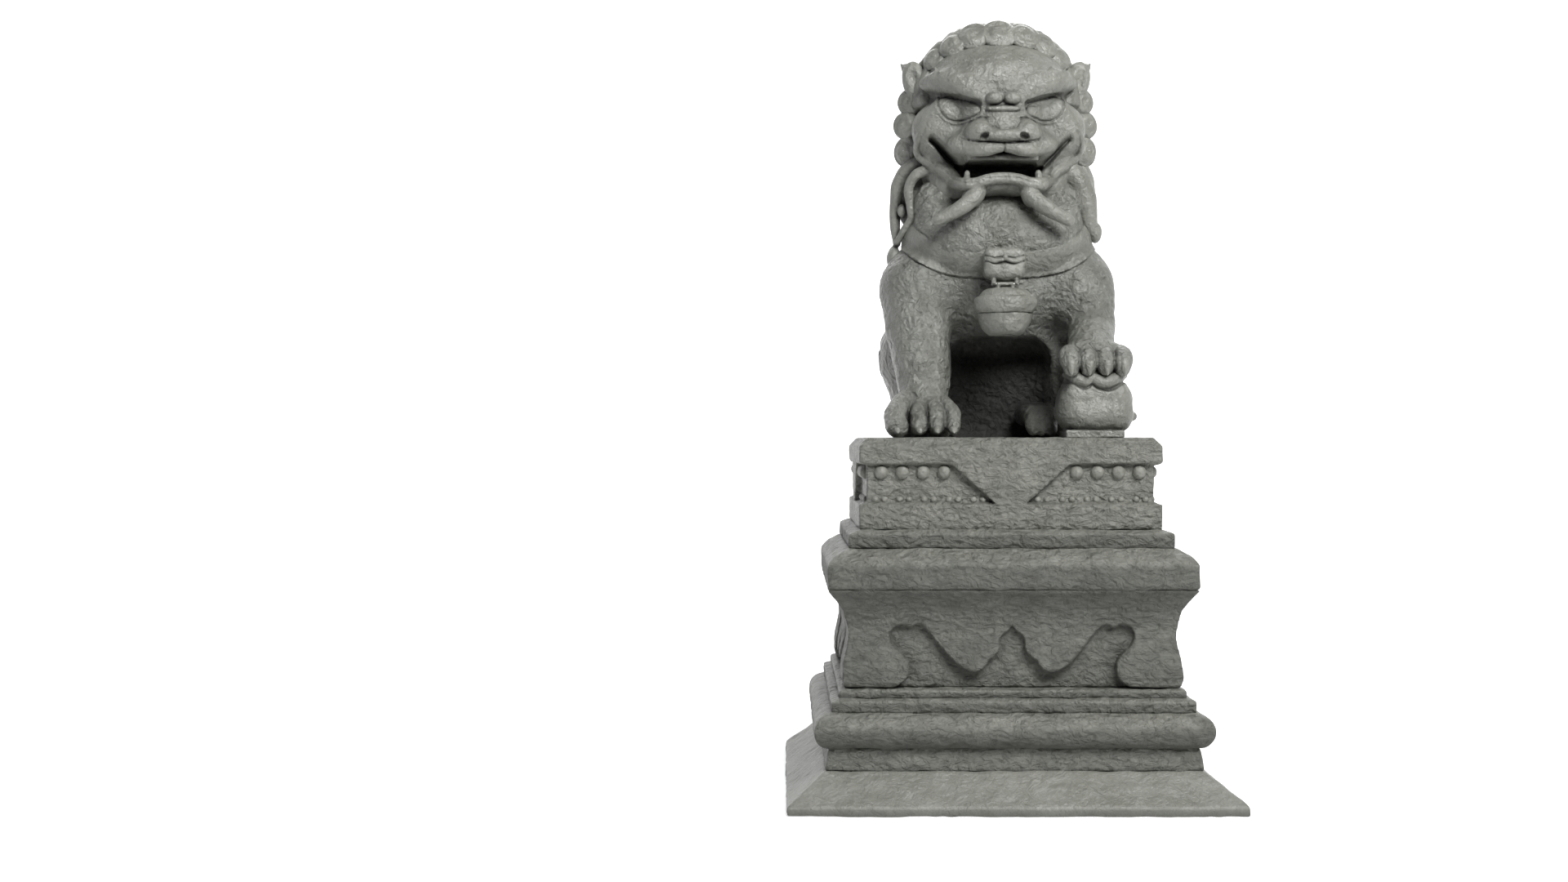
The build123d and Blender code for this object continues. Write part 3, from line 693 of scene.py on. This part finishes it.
# The mass is parted across the lap and at the knees, each part lapping over the next by LAP.
LAP, HIND_CUT, KNEE_CUT = 6, -30, 1040
quarters = {
    "foreleg_right": ((-300, -344, 812), (0, HIND_CUT + LAP, KNEE_CUT + LAP), 0.15,
    ["foreleg_right", "paw_right", "hind_foot_right"]),
    "foreleg_left": ((0, -344, 812), (300, HIND_CUT + LAP, KNEE_CUT + LAP), 0.15,
    ["foreleg_left", "paw_left", "hind_foot_left"]),
    "forequarters": ((-300, -344, KNEE_CUT), (300, HIND_CUT + LAP, 1424), 0.15, ["trunk"]),
    "hindquarter_right": ((-300, HIND_CUT, 812), (LAP, 332, 1424), 0.0, ["haunch_right"]),
    "hindquarter_left": ((0, HIND_CUT, 812), (300, 332, 1424), 0.1, ["haunch_left"]),
}


def under_belly(p):
    """How deep points lie in the dark hollow between the legs, from 0 to 1; painted there as shade."""
    x, y, z = p.T
    return np.clip((y + 190) / 130, 0, 1) * np.clip((1078 - z) / 70, 0,
        1) * np.clip((132 - np.abs(x - 6)) / 22, 0, 1)


BODY_TOOLING = [(60, 1.8, 11), (24, 1.6, 12), (12, 1.1, 13)]
for name, (low, high, inset, stands_for) in quarters.items():
    quarter = part_of(body, low, high, inset)
    carve(name, quarter, BODY_TOOLING, pecked, stands_for, hollow=under_belly)

# A broad band lies round the neck, low in front and rising under the mane; its lower edge stands
# proud and its upper edge fades into the chest.
band = part_of(body, (-252, -236, 1130), (252, 332, 1424))
x3, y3, z3 = band.axes[0][:, None, None] / 150, band.axes[1][None, :, None], band.axes[2][None, None, :]
back = 0.66 * np.maximum(y3 + 60, 0)
hem, top = 1188 + 8 * x3 ** 2 + 10 * x3 ** 4 + back, 1246 + 13 * x3 ** 2 + 14 * x3 ** 4 + back
rise = np.clip((top - z3) / (top - hem), 0, 1)
band.f = np.maximum(band.f - (0.4 + 5.6 * rise), 0.8 * np.maximum(z3 - top, hem - z3)).astype(np.float32)
carve("collar", band, [(60, 1.8, 11), (22, 1.2, 12)], rubbed, ["collar"])

# ---- claws -------------------------------------------------------------------------------------
# Claws: short thick cones of rubbed granite, one cut at each toe's end, longer on the raised paw.
# Each is in one with its toe and stands a little out of it.

CLAW = [(0.9, -0.5), (1.0, 0.0), (0.85, 0.9), (0.55, 1.8), (0.22, 2.5), (0.01, 2.75)]
geometry_repeat("claws_right", unit_object("claw", *lathe(CLAW, 20)),
    [(x * MM, -0.306, 0.834) for x in (-250, -200, -160, -123)],
                [(0, -1, -0.35)] * 4, [(0.0105, 0.0105, 0.0075)] * 4, 0, rubbed, ["claws_right"])
geometry_repeat("claws_left", unit_object("claw", *lathe(CLAW, 20)),
    [(x * MM, -0.322, 0.984) for x in (140, 181, 221, 260)],
                [(0, -0.2, -1)] * 4, [(0.0115, 0.0115, 0.0105)] * 4, 0, rubbed, ["claws_left"])

# ---- tail --------------------------------------------------------------------------------------
# The tail stands up the back as a flame of three locks, pecked granite in one with the haunches,
# its hairs drawn with a narrow chisel.

tail = Clay((-112, 160, 812), (112, 346, 1240), 3.0)
tail.tube(curve([(0, 268, 830), (0, 292, 920), (0, 282, 1030), (0, 236, 1120), (0, 176, 1186)]),
    [46, 54, 48, 34, 16], blend=1)
for s in BOTH:
    tail.tube(curve([(s * 18, 262, 850), (s * 54, 284, 930), (s * 66, 276, 1010), (s * 84, 250, 1070),
        (s * 70, 246, 1100)]), [26, 30, 26, 16, 6], blend=10)
    tail.draw(curve([(s * 14, 830), (s * 24, 930), (s * 22, 1040), (s * 8, 1160)]), 4, 4.5, 200, "back")
    tail.draw(curve([(s * 44, 850), (s * 62, 940), (s * 66, 1030), (s * 80, 1070)]), 3.5, 4, 200, "back")
tail.draw(curve([(0, 840), (0, 1180)]), 3.5, 4, 200, "back")
tail.level(SLAB_TOP)
carve("tail", tail, [(30, 1.6, 36), (12, 0.8, 37)], pecked, ["tail"])

# ---- hair strands beside the neck --------------------------------------------------------------
# Loose strands of rubbed granite fall from behind the jaw, cut free of the neck for most of their
# length; the right one opens into a loop, and both end in a knob.

right = Clay((-274, -110, 1196), (-140, 60, 1500), 2.2)
right.tube(curve([(-150, -60, 1482), (-206, -42, 1458), (-232, -30, 1424), (-240, -24, 1370),
    (-240, -22, 1316), (-236, -24, 1280)]), [16, 17, 16, 14, 12, 9], blend=1)
right.tube(curve([(-150, -84, 1452), (-192, -78, 1438), (-210, -70, 1408), (-208, -68, 1368),
    (-204, -62, 1338), (-222, -50, 1306), (-236, -36, 1282)]), [13, 13, 12, 10, 9, 9, 8], blend=3)
right.ball((-224, -44, 1356), (12, 12, 16), blend=4)
right.ball((-243, -20, 1242), (17, 24, 32), blend=5)
right.ball((-190, 0, 1400), (50, 40, 90), blend=6)
carve("strand_right", right, [(24, 1.2, 41)], rubbed, ["ribbon_right"])
left = Clay((140, -110, 1220), (276, 60, 1500), 2.2)
left.tube(curve([(150, -70, 1462), (184, -70, 1428), (204, -62, 1382), (216, -52, 1330),
    (226, -42, 1306)]), [22, 30, 30, 22, 12], blend=1)
left.ball((234, -40, 1304), (16, 20, 25), blend=5)
left.ball((190, 0, 1400), (50, 40, 90), blend=6)
carve("strand_left", left, [(24, 1.2, 42)], rubbed, ["ribbon_left"])

# ---- badge and bell ----------------------------------------------------------------------------
# A small beast mask on the neck band carries two lugs; a steel pin through them holds the bell's
# bail, so the bell swings.  The bell is a flared cap over a rounded cup.

mask = Clay((-56, -258, 1150), (56, -150, 1266), 1.1)
mask.box((0, -200, 1218), (46, 38, 34), edge=15, blend=1)
mask.ball((0, -218, 1196), (43, 24, 24), blend=12)
for s in BOTH:
    mask.tube(curve([(s * 41, -228, 1225), (s * 24, -237, 1221), (s * 8, -240, 1223)]), [5, 6, 5],
        blend=5)
    mask.draw(curve([(s * 43, 1234), (s * 24, 1228), (s * 7, 1230)]), 1.6, 3.0, -200)
    mask.tube(curve([(s * 25, -216, 1192), (s * 25.5, -238, 1171)]), [6, 5.5], blend=2)
mask.ball((0, -240, 1229), (5.5, 6, 8), blend=2)
mask.ball((0, -238, 1209), (12, 6, 6), blend=4)
mask.draw(curve([(-43, 1221), (-22, 1214), (0, 1218), (22, 1214), (43, 1221)]), 1.6, 3.0, -200)
carve("badge", mask, [(14, 0.8, 51), (6, 0.3, 52)], rubbed, ["badge"])

# Brushed stainless steel: bright, neutral and soft in its highlights.
steel = bpy.data.materials.new("brushed_stainless_steel")
steel.use_nodes = True
steel.node_tree.nodes["Principled BSDF"].inputs["Base Color"].default_value = linear("#b4b4b2")
steel.node_tree.nodes["Principled BSDF"].inputs["Metallic"].default_value = 1.0
steel.node_tree.nodes["Principled BSDF"].inputs["Roughness"].default_value = 0.32
PIN = (0, -238, 1168)  # the bell's swing axis, which lies along X
rod_shape = lathe([(0.01, -1), (0.9, -1), (1, -0.96), (1, 0.96), (0.9, 1), (0.01, 1)], 28)
geometry_repeat("bell_pin", unit_object("rod", *rod_shape), [tuple(v * MM for v in PIN)], [(1, 0, 0)],
    [(0.003, 0.003, 0.031)], 0, steel, ["bell_pin"], "statue")
bail = Clay((-24, -254, 1146), (24, -222, 1182), 0.9)
bail.tube([(-15, -238, 1168), (15, -238, 1168)], [4.6, 4.6], blend=1)
for s in BOTH:
    bail.tube([(s * 15.5, -238, 1167), (s * 17, -238, 1154)], [4.8, 5.5], blend=2)
carve("bell_bail", bail, [(8, 0.3, 52)], rubbed, ["bell_bail"], "bell")
CAP_LINE = [(0.1, 1159), (22, 1159), (38, 1157), (50, 1151), (58, 1143), (61, 1139), (67, 1137),
    (71.5, 1130), (72, 1121), (69, 1110), (64.5, 1103), (61, 1101.4),
            (50, 1101.2), (44, 1103), (42, 1118), (30, 1136), (0.1, 1141)]
CUP_LINE = [(46, 1100.6), (58, 1100.6), (61.5, 1099), (60.5, 1091), (57.5, 1079), (52.5, 1068),
    (46, 1059), (38, 1053), (31, 1051), (31, 1056),
            (41, 1066), (48, 1084), (46, 1100.6)]
for part, line, lumps in (("bell_cap", CAP_LINE, [(26, 2.0, 53), (10, 0.8, 54)]),
        ("bell_cup", CUP_LINE, [(26, 1.4, 55), (10, 0.8, 56)])):
    points, faces = lathe(curve(line, 4), 96)
    points = (points + (0, PIN[1], 0)) * MM
    points = worked(points, faces[:, ::-1], [(a * MM, d * MM, e) for a, d, e in lumps])
    make_piece(part, points, faces[:, ::-1], rubbed, [part], "bell")

# ---- cub ---------------------------------------------------------------------------------------
# The cub lies curled on its small slab, its back rolled up into a scalloped edge under the paw.
# It is rubbed granite, cut from the same block as the slab below it.

cub = Clay((100, -336, 812), (304, -140, 980), 2.0)
cub.box((203, -236, 886), (84, 74, 62), edge=48, blend=1)
cub.ball((202, -238, 872), (87, 79, 44), blend=14)
cub.box((202, -244, 936), (62, 60, 32), edge=18, blend=18)
cub.tube(curve([(140, -246, 958), (152, -284, 954), (164, -299, 947), (176, -303, 945), (189, -299, 952),
    (206, -304, 944), (226, -306, 942), (248, -298, 952), (264, -256, 958)]),
    [12, 13, 13.5, 13, 11, 13, 14, 13, 12], blend=5)
cub.ball((291, -236, 866), (11, 12, 11), blend=6)
cub.draw(curve([(130, 950), (148, 938), (168, 929), (180, 930), (190, 937), (204, 928), (228, 925),
    (252, 936), (274, 950)]), 3.0, 4.0, -200)
cub.box((198, -236, 822), (66, 64, 12), edge=2, blend=1)
cub.level(SLAB_TOP)
carve("cub", cub, [(34, 1.6, 61), (14, 0.8, 62)], rubbed, ["cub", "cub_slab"])

# ---- pedestal ----------------------------------------------------------------------------------
# Courses of dressed granite, one laid on the next with steel dowels in the beds.  Upright faces
# are boasted in broad flakes, and the sloping skirt is rubbed nearly smooth.

DEEPER = 28.5  # each course reaches this much further front and back than side to side
# Hewn granite: boasted in flakes, so it is rough and the darkest of the finishes.
hewn = stone("hewn_granite", "#777870", "#60615a", 0.018, 0.0170, 0.0010, 0.48, 1.5)
# Dressed granite: even and dull, for the skirt and the beads.
tread = stone("dressed_granite", "#7b7c75", "#6a6b63", 0.024, 0.0050, 0.0008, 0.48)
UPRIGHT_SHADE = 0.48  # how much painted shade an upright face gets


def flip(points):
    """The same points on the other side of the lion."""
    p = np.array(points, float)
    p[..., 0] *= -1
    return p


def rect_course(name, profile, node_names, material=hewn, step=5.0, seed=71, corner=5.0):
    """A rectangular course: its profile of (half width, level) points carried round four sides."""
    line = []
    for (a0, z0), (a1, z1) in zip(profile[:-1], profile[1:]):
        n = max(1, int(round(math.hypot(a1 - a0, z1 - z0) / step)))
        line += [(a0 + (a1 - a0) * i / n, z0 + (z1 - z0) * i / n) for i in range(n)]
    line = np.array(line + [profile[-1]])
    line[1:-1] = 0.25 * line[:-2] + 0.5 * line[1:-1] + 0.25 * line[2:]
    half = max(a for a, z in profile)
    n = int(2 * half / step)
    t = np.linspace(-1, 1, n, endpoint=False)
    one = np.ones(n)
    square = np.concatenate([np.stack(c, 1) for c in ((t, -one), (one, t), (-t, one), (-one, -t))])
    points = []
    for a, z in line:
        xy = square * (a, a + DEEPER)
        r = min(corner, a * 0.5)
        inner = np.clip(xy, (-(a - r), -(a + DEEPER - r)), (a - r, a + DEEPER - r))
        away = xy - inner
        length = np.linalg.norm(away, axis=1, keepdims=True)
        xy = inner + away * np.minimum(1, r / np.maximum(length, 1e-9))
        points.append(np.column_stack([xy, np.full(len(xy), z)]))
    count = len(square)
    rows = len(points)
    i = np.arange(count)
    j = (i + 1) % count
    faces = np.concatenate([np.stack([k * count + i, k * count + j, (k + 1) * count + j,
        (k + 1) * count + i], 1) for k in range(rows - 1)])
    points = np.concatenate(points) * MM
    # Painted shade: upright faces and faces turned down are darkened, faces turned up are not.
    facing_shade = UPRIGHT_SHADE * np.clip(1 - 2.2 * normals_of(points, faces)[:, 2], 0, 1.2)
    points = worked(points, faces, [(0.040, 0.0018, seed), (0.018, 0.0012, seed + 1),
        (0.3, 0.001, seed + 2)])
    return make_piece(name, points, faces, material, node_names, "statue", facing_shade)


rect_course("base_skirt", [(440, 0.0), (500, 0.0), (500, 20), (415, 87), (390, 87)], ["base_skirt"],
    tread, seed=71)
rect_course("plinth_neck", [(400, 86), (416, 86.5), (408, 133), (400, 137)], ["plinth_neck"], seed=74)
rect_course("torus_course", [(398, 136)] + [(404 + 35 * math.cos(t),
    172 + 38 * math.sin(t)) for t in np.linspace(-1.35, 1.25, 14)] + [(403, 212), (380, 213)],
    ["torus_course"], seed=77)
rect_course("lower_wide_step", [(380, 211), (402, 211), (402, 237), (385, 242.5), (370, 242.5)],
    ["lower_wide_step"], seed=80, step=4)
rect_course("lower_narrow_step", [(370, 241), (384, 241), (384, 259), (373, 262.5), (340, 262.5)],
    ["lower_narrow_step"], seed=83, step=4)
rect_course("cornice_slab", [(375, 480), (402, 480.5), (408.5, 485), (408.5, 537), (403, 545), (390, 557),
    (366, 571), (345, 572)], ["cornice_slab"], seed=86)
rect_course("upper_wide_step", [(340, 570.5), (362, 571), (362, 604), (339, 613), (325, 613)],
    ["upper_wide_step"], seed=89)

# The waist: a block with a hollow profile, its faces cut back between scrolled feet.
PROFILE = [(360, 262), (373, 266), (377.5, 285), (376, 305), (374.5, 320), (370, 342), (367, 353),
    (364, 370), (364, 390), (368, 412), (374.5, 434), (390, 457), (408, 480), (408, 484)]
half_apron = np.vstack([
    [(0, 401), (5, 394)], curve([(8, 389), (21, 379), (27, 368), (27, 352), (38, 334), (52, 327)], 4),
    curve([(52, 327), (62, 310), (85, 300), (114, 310), (143, 336), (174, 373), (196, 398), (211, 403),
    (224, 396)], 5),
    curve([(226, 396), (240, 403), (258, 399), (269, 385), (269, 369), (254, 348), (236, 331), (229, 308),
    (238, 282), (262, 264)], 5)])
apron = np.vstack([half_apron, [(262, 200), (-262, 200)], flip(half_apron)[::-1]])
waist = Clay((-416, -444, 258), (416, 444, 486), 3.7)
x3, y3, z3 = np.abs(waist.axes[0])[:, None, None], np.abs(waist.axes[1])[None, :, None], waist.axes[2]
reach = np.interp(z3, [z for a, z in PROFILE], [a for a, z in PROFILE])[None, None, :]
waist.f = waist.f * 0 + np.maximum(x3 - reach, y3 - reach - DEEPER)
gap = polygon_distance(apron, waist.axes[0][:, None], z3[None, :])[:, None, :]
waist.merge((slice(None),) * 3, np.maximum(gap, 350 + DEEPER - y3).astype(np.float32), 5, True)
gap = polygon_distance(apron, waist.axes[1][:, None], z3[None, :])[None, :, :]
waist.merge((slice(None),) * 3, np.maximum(gap, 350 - x3).astype(np.float32), 5, True)
waist.f = np.maximum(waist.f, 263 - z3[None, None, :] + 0 * waist.f).astype(np.float32)
waist.f = np.maximum(waist.f, z3[None, None, :] - 482).astype(np.float32)


def under_cornice(p):
    """Painted shade on the waist, heaviest under the cornice."""
    return 0.42 + 0.20 * np.clip((p[:, 2] - 390) / 80, 0, 1)


for name, near, far, inset, stands_for in (
        ("waist_front", -444, 8, 0.0, ["waist_core", "waist_facing_front", "waist_facing_left"]),
        ("waist_back", 0, 444, 0.1, ["waist_facing_back", "waist_facing_right"])):
    half = part_of(waist, (-416, near, 258), (416, far, 486), inset)
    carve(name, half, [(36, 1.5, 91), (16, 0.8, 92)], hewn, stands_for,
        hollow=under_cornice)

# The altar block: the upper block, the frieze with the hanging point of the cloth, and the cap.
RISE = [(330, 612), (338, 612), (338, 668), (321, 673), (321, 757), (331, 757), (338, 761), (338, 797),
    (320, 817)]
altar = Clay((-344, -372, 608), (344, 372, 822), 4.2)
x3, y3, z3 = np.abs(altar.axes[0])[:, None, None], np.abs(altar.axes[1])[None, :, None], altar.axes[2]
frame_half = np.interp(z3, [z + 0.01 * i for i, (a, z) in enumerate(RISE)], [a for a, z in RISE])[None,
    None, :]
altar.f = altar.f * 0 + np.maximum(x3 - frame_half, y3 - frame_half - DEEPER)
flap = np.array([(-137, 762), (137, 762), (31, 666), (-31, 666)])
for axis, other, deep in ((0, y3, DEEPER), (1, x3, 0)):
    gap = polygon_distance(flap, altar.axes[axis][:, None], z3[None, :])
    gap = gap[:, None, :] if axis == 0 else gap[None, :, :]
    altar.merge((slice(None),) * 3, np.maximum(gap, other - 338 - deep).astype(np.float32), 2, False)
altar.f = np.maximum(altar.f, np.maximum(612 - z3, z3 - SLAB_TOP)[None, None, :]).astype(np.float32)
altar_nodes = ["upper_block", "frieze_block", "cap_slab"]
altar_nodes += [f"cloth_flap_{d}" for d in ("front", "back", "left", "right")]
carve("altar_block", altar, [(36, 1.3, 94), (16, 0.7, 95)], hewn, altar_nodes)

# Beads along the frieze: four large ones and five small pairs either side of each cloth.
bead_line = [(math.sin(t), 0.62 * math.cos(t)) for t in np.linspace(math.pi / 2 + 0.5, 0.01, 14)]
for name, half_level, big in (("large_beads", 739.5, True), ("small_beads", 678.5, False)):
    seats, facings = [], []
    for k, turn in enumerate((0, 90, 180, 270)):
        out = 321 + (DEEPER if k % 2 == 0 else 0)
        step = 0 if k % 2 == 0 else DEEPER / 2
        if big:
            places = [148 + step + 46.7 * i for i in range(4)]
        else:
            places = [72 + step + 54.8 * i + d for i in range(5) for d in (-10.5, 10.5)]
        c, q = math.cos(math.radians(turn)), math.sin(math.radians(turn))
        for x in places + [-v for v in places]:
            seats.append(((x * c + out * q) * MM, (x * q - out * c) * MM, half_level * MM))
            facings.append((q, -c, 0))
    r = 0.0155 if big else 0.0078
    bead = unit_object("bead", *lathe(bead_line, 28 if big else 18))
    geometry_repeat(name, bead, seats, facings, [(r, r, r * 1.5)] * len(seats), 3.0, tread, [name],
        "statue")

# ---- hidden dowels -----------------------------------------------------------------------------
# Stainless steel rods, cut from bar and let into the beds, out of sight when the stone is laid.
# They pin each course to the next, the lion to the top of its block, and the head to the neck.

dowel_seats, dowel_sizes = [], []
for k, level in enumerate((86, 136, 212, 241, 261, 480, 571, 607, 671, 756)):
    for s in BOTH:
        dowel_seats.append((s * 0.22, (s if k % 2 == 0 else -s) * 0.22, level * MM))
        dowel_sizes.append((0.0078, 0.0078, 0.009 if level in (241, 261) else 0.014))
geometry_repeat("course_dowels", unit_object("rod", *rod_shape), dowel_seats, [(0, 0, 1)] * 20,
    dowel_sizes, 0, steel, ["course_dowels"], "statue")
lion_seats = [(0.08, 0.12, 0.817), (-0.08, 0.12, 0.817), (-0.197, -0.22, 0.817), (0.07, 0.01, 1.372),
    (-0.07, 0.01, 1.372)]
geometry_repeat("lion_dowels", unit_object("rod", *rod_shape), lion_seats, [(0, 0, 1)] * 5,
    [(0.0098, 0.0098, 0.03)] * 5, 0, steel, ["lion_dowels"], "statue")

# ---- camera, light and floor -------------------------------------------------------------------
# A level camera, a white studio backdrop and floor, a soft key from high in front and a little to
# the right, a faint cool light from the left, and a soft light on the backdrop.

camera = bpy.data.objects.new("camera", bpy.data.cameras.new("camera"))
bpy.context.scene.collection.objects.link(camera)
camera.data.lens, camera.data.sensor_width = 50.0, 36.0
camera.location = (-0.505, -5.2115, 0.8095)
camera.rotation_euler = (math.radians(90), 0, 0)
camera.data.clip_end = 100
bpy.context.scene.camera = camera


def sheet(name, corners, glow):
    """A sheet of white studio paper, which isn't part of the statue; it greys in front of the
    statue, so that little light comes up from it."""
    mesh = bpy.data.meshes.new(name)
    mesh.from_pydata(corners, [], [(0, 1, 2, 3)])
    obj = bpy.data.objects.new(name, mesh)
    bpy.context.scene.collection.objects.link(obj)
    m = bpy.data.materials.new(name)
    m.use_nodes = True
    t = m.node_tree
    surface = t.nodes["Principled BSDF"]
    place = add(t, "ShaderNodeTexCoord").outputs["Object"]
    along = add(t, "ShaderNodeSeparateXYZ", [(place, "Vector")]).outputs["Y"]
    lit = add(t, "ShaderNodeMapRange", [(along, "Value")], From_Min=-2.6, From_Max=-1.2, To_Min=0.0,
        To_Max=1.0).outputs[0]
    tone = add(t, "ShaderNodeMixRGB", [(lit, "Fac")], Color1=linear("#5c5c5c"),
        Color2=linear("#f4f4f4")).outputs["Color"]
    power = add(t, "ShaderNodeMath", [(lit, 0)], operation="MULTIPLY")
    power.inputs[1].default_value = glow
    t.links.new(tone, surface.inputs["Base Color"])
    t.links.new(power.outputs[0], surface.inputs["Emission Strength"])
    surface.inputs["Roughness"].default_value = 0.9
    surface.inputs["Emission Color"].default_value = linear("#ffffff")
    mesh.materials.append(m)


sheet("floor_paper", [(-20, -20, 0), (20, -20, 0), (20, 9, 0), (-20, 9, 0)], 0.5)
sheet("backdrop_paper", [(-16, 9, 0), (16, 9, 0), (16, 9, 12), (-16, 9, 12)], 0.95)


def lamp(name, at, aim, size, power, colour="#ffffff"):
    """A soft rectangular studio light aimed at a point."""
    light = bpy.data.lights.new(name, "AREA")
    light.shape, light.size, light.size_y = "RECTANGLE", size[0], size[1]
    light.energy, light.color = power, linear(colour)[:3]
    obj = bpy.data.objects.new(name, light)
    obj.location = at
    obj.rotation_euler = (Vector(aim) - Vector(at)).to_track_quat("-Z", "Y").to_euler()
    bpy.context.scene.collection.objects.link(obj)


lamp("front_key", (1.4, -3.8, 4.1), (0, 0, 1.3), (2.8, 1.9), 400)
lamp("left_rim", (-4.0, -0.3, 2.5), (0, 0, 1.3), (0.16, 1.0), 20, "#eef2ff")
lamp("back_soft", (0.0, 5.0, 5.4), (0, 1.5, 0), (5.0, 2.4), 160)
world = bpy.data.worlds.new("studio")
bpy.context.scene.world = world
world.use_nodes = True
world.node_tree.nodes["Background"].inputs["Color"].default_value = linear("#ffffff")
world.node_tree.nodes["Background"].inputs["Strength"].default_value = 0.06
bpy.context.scene.view_settings.view_transform = "Standard"
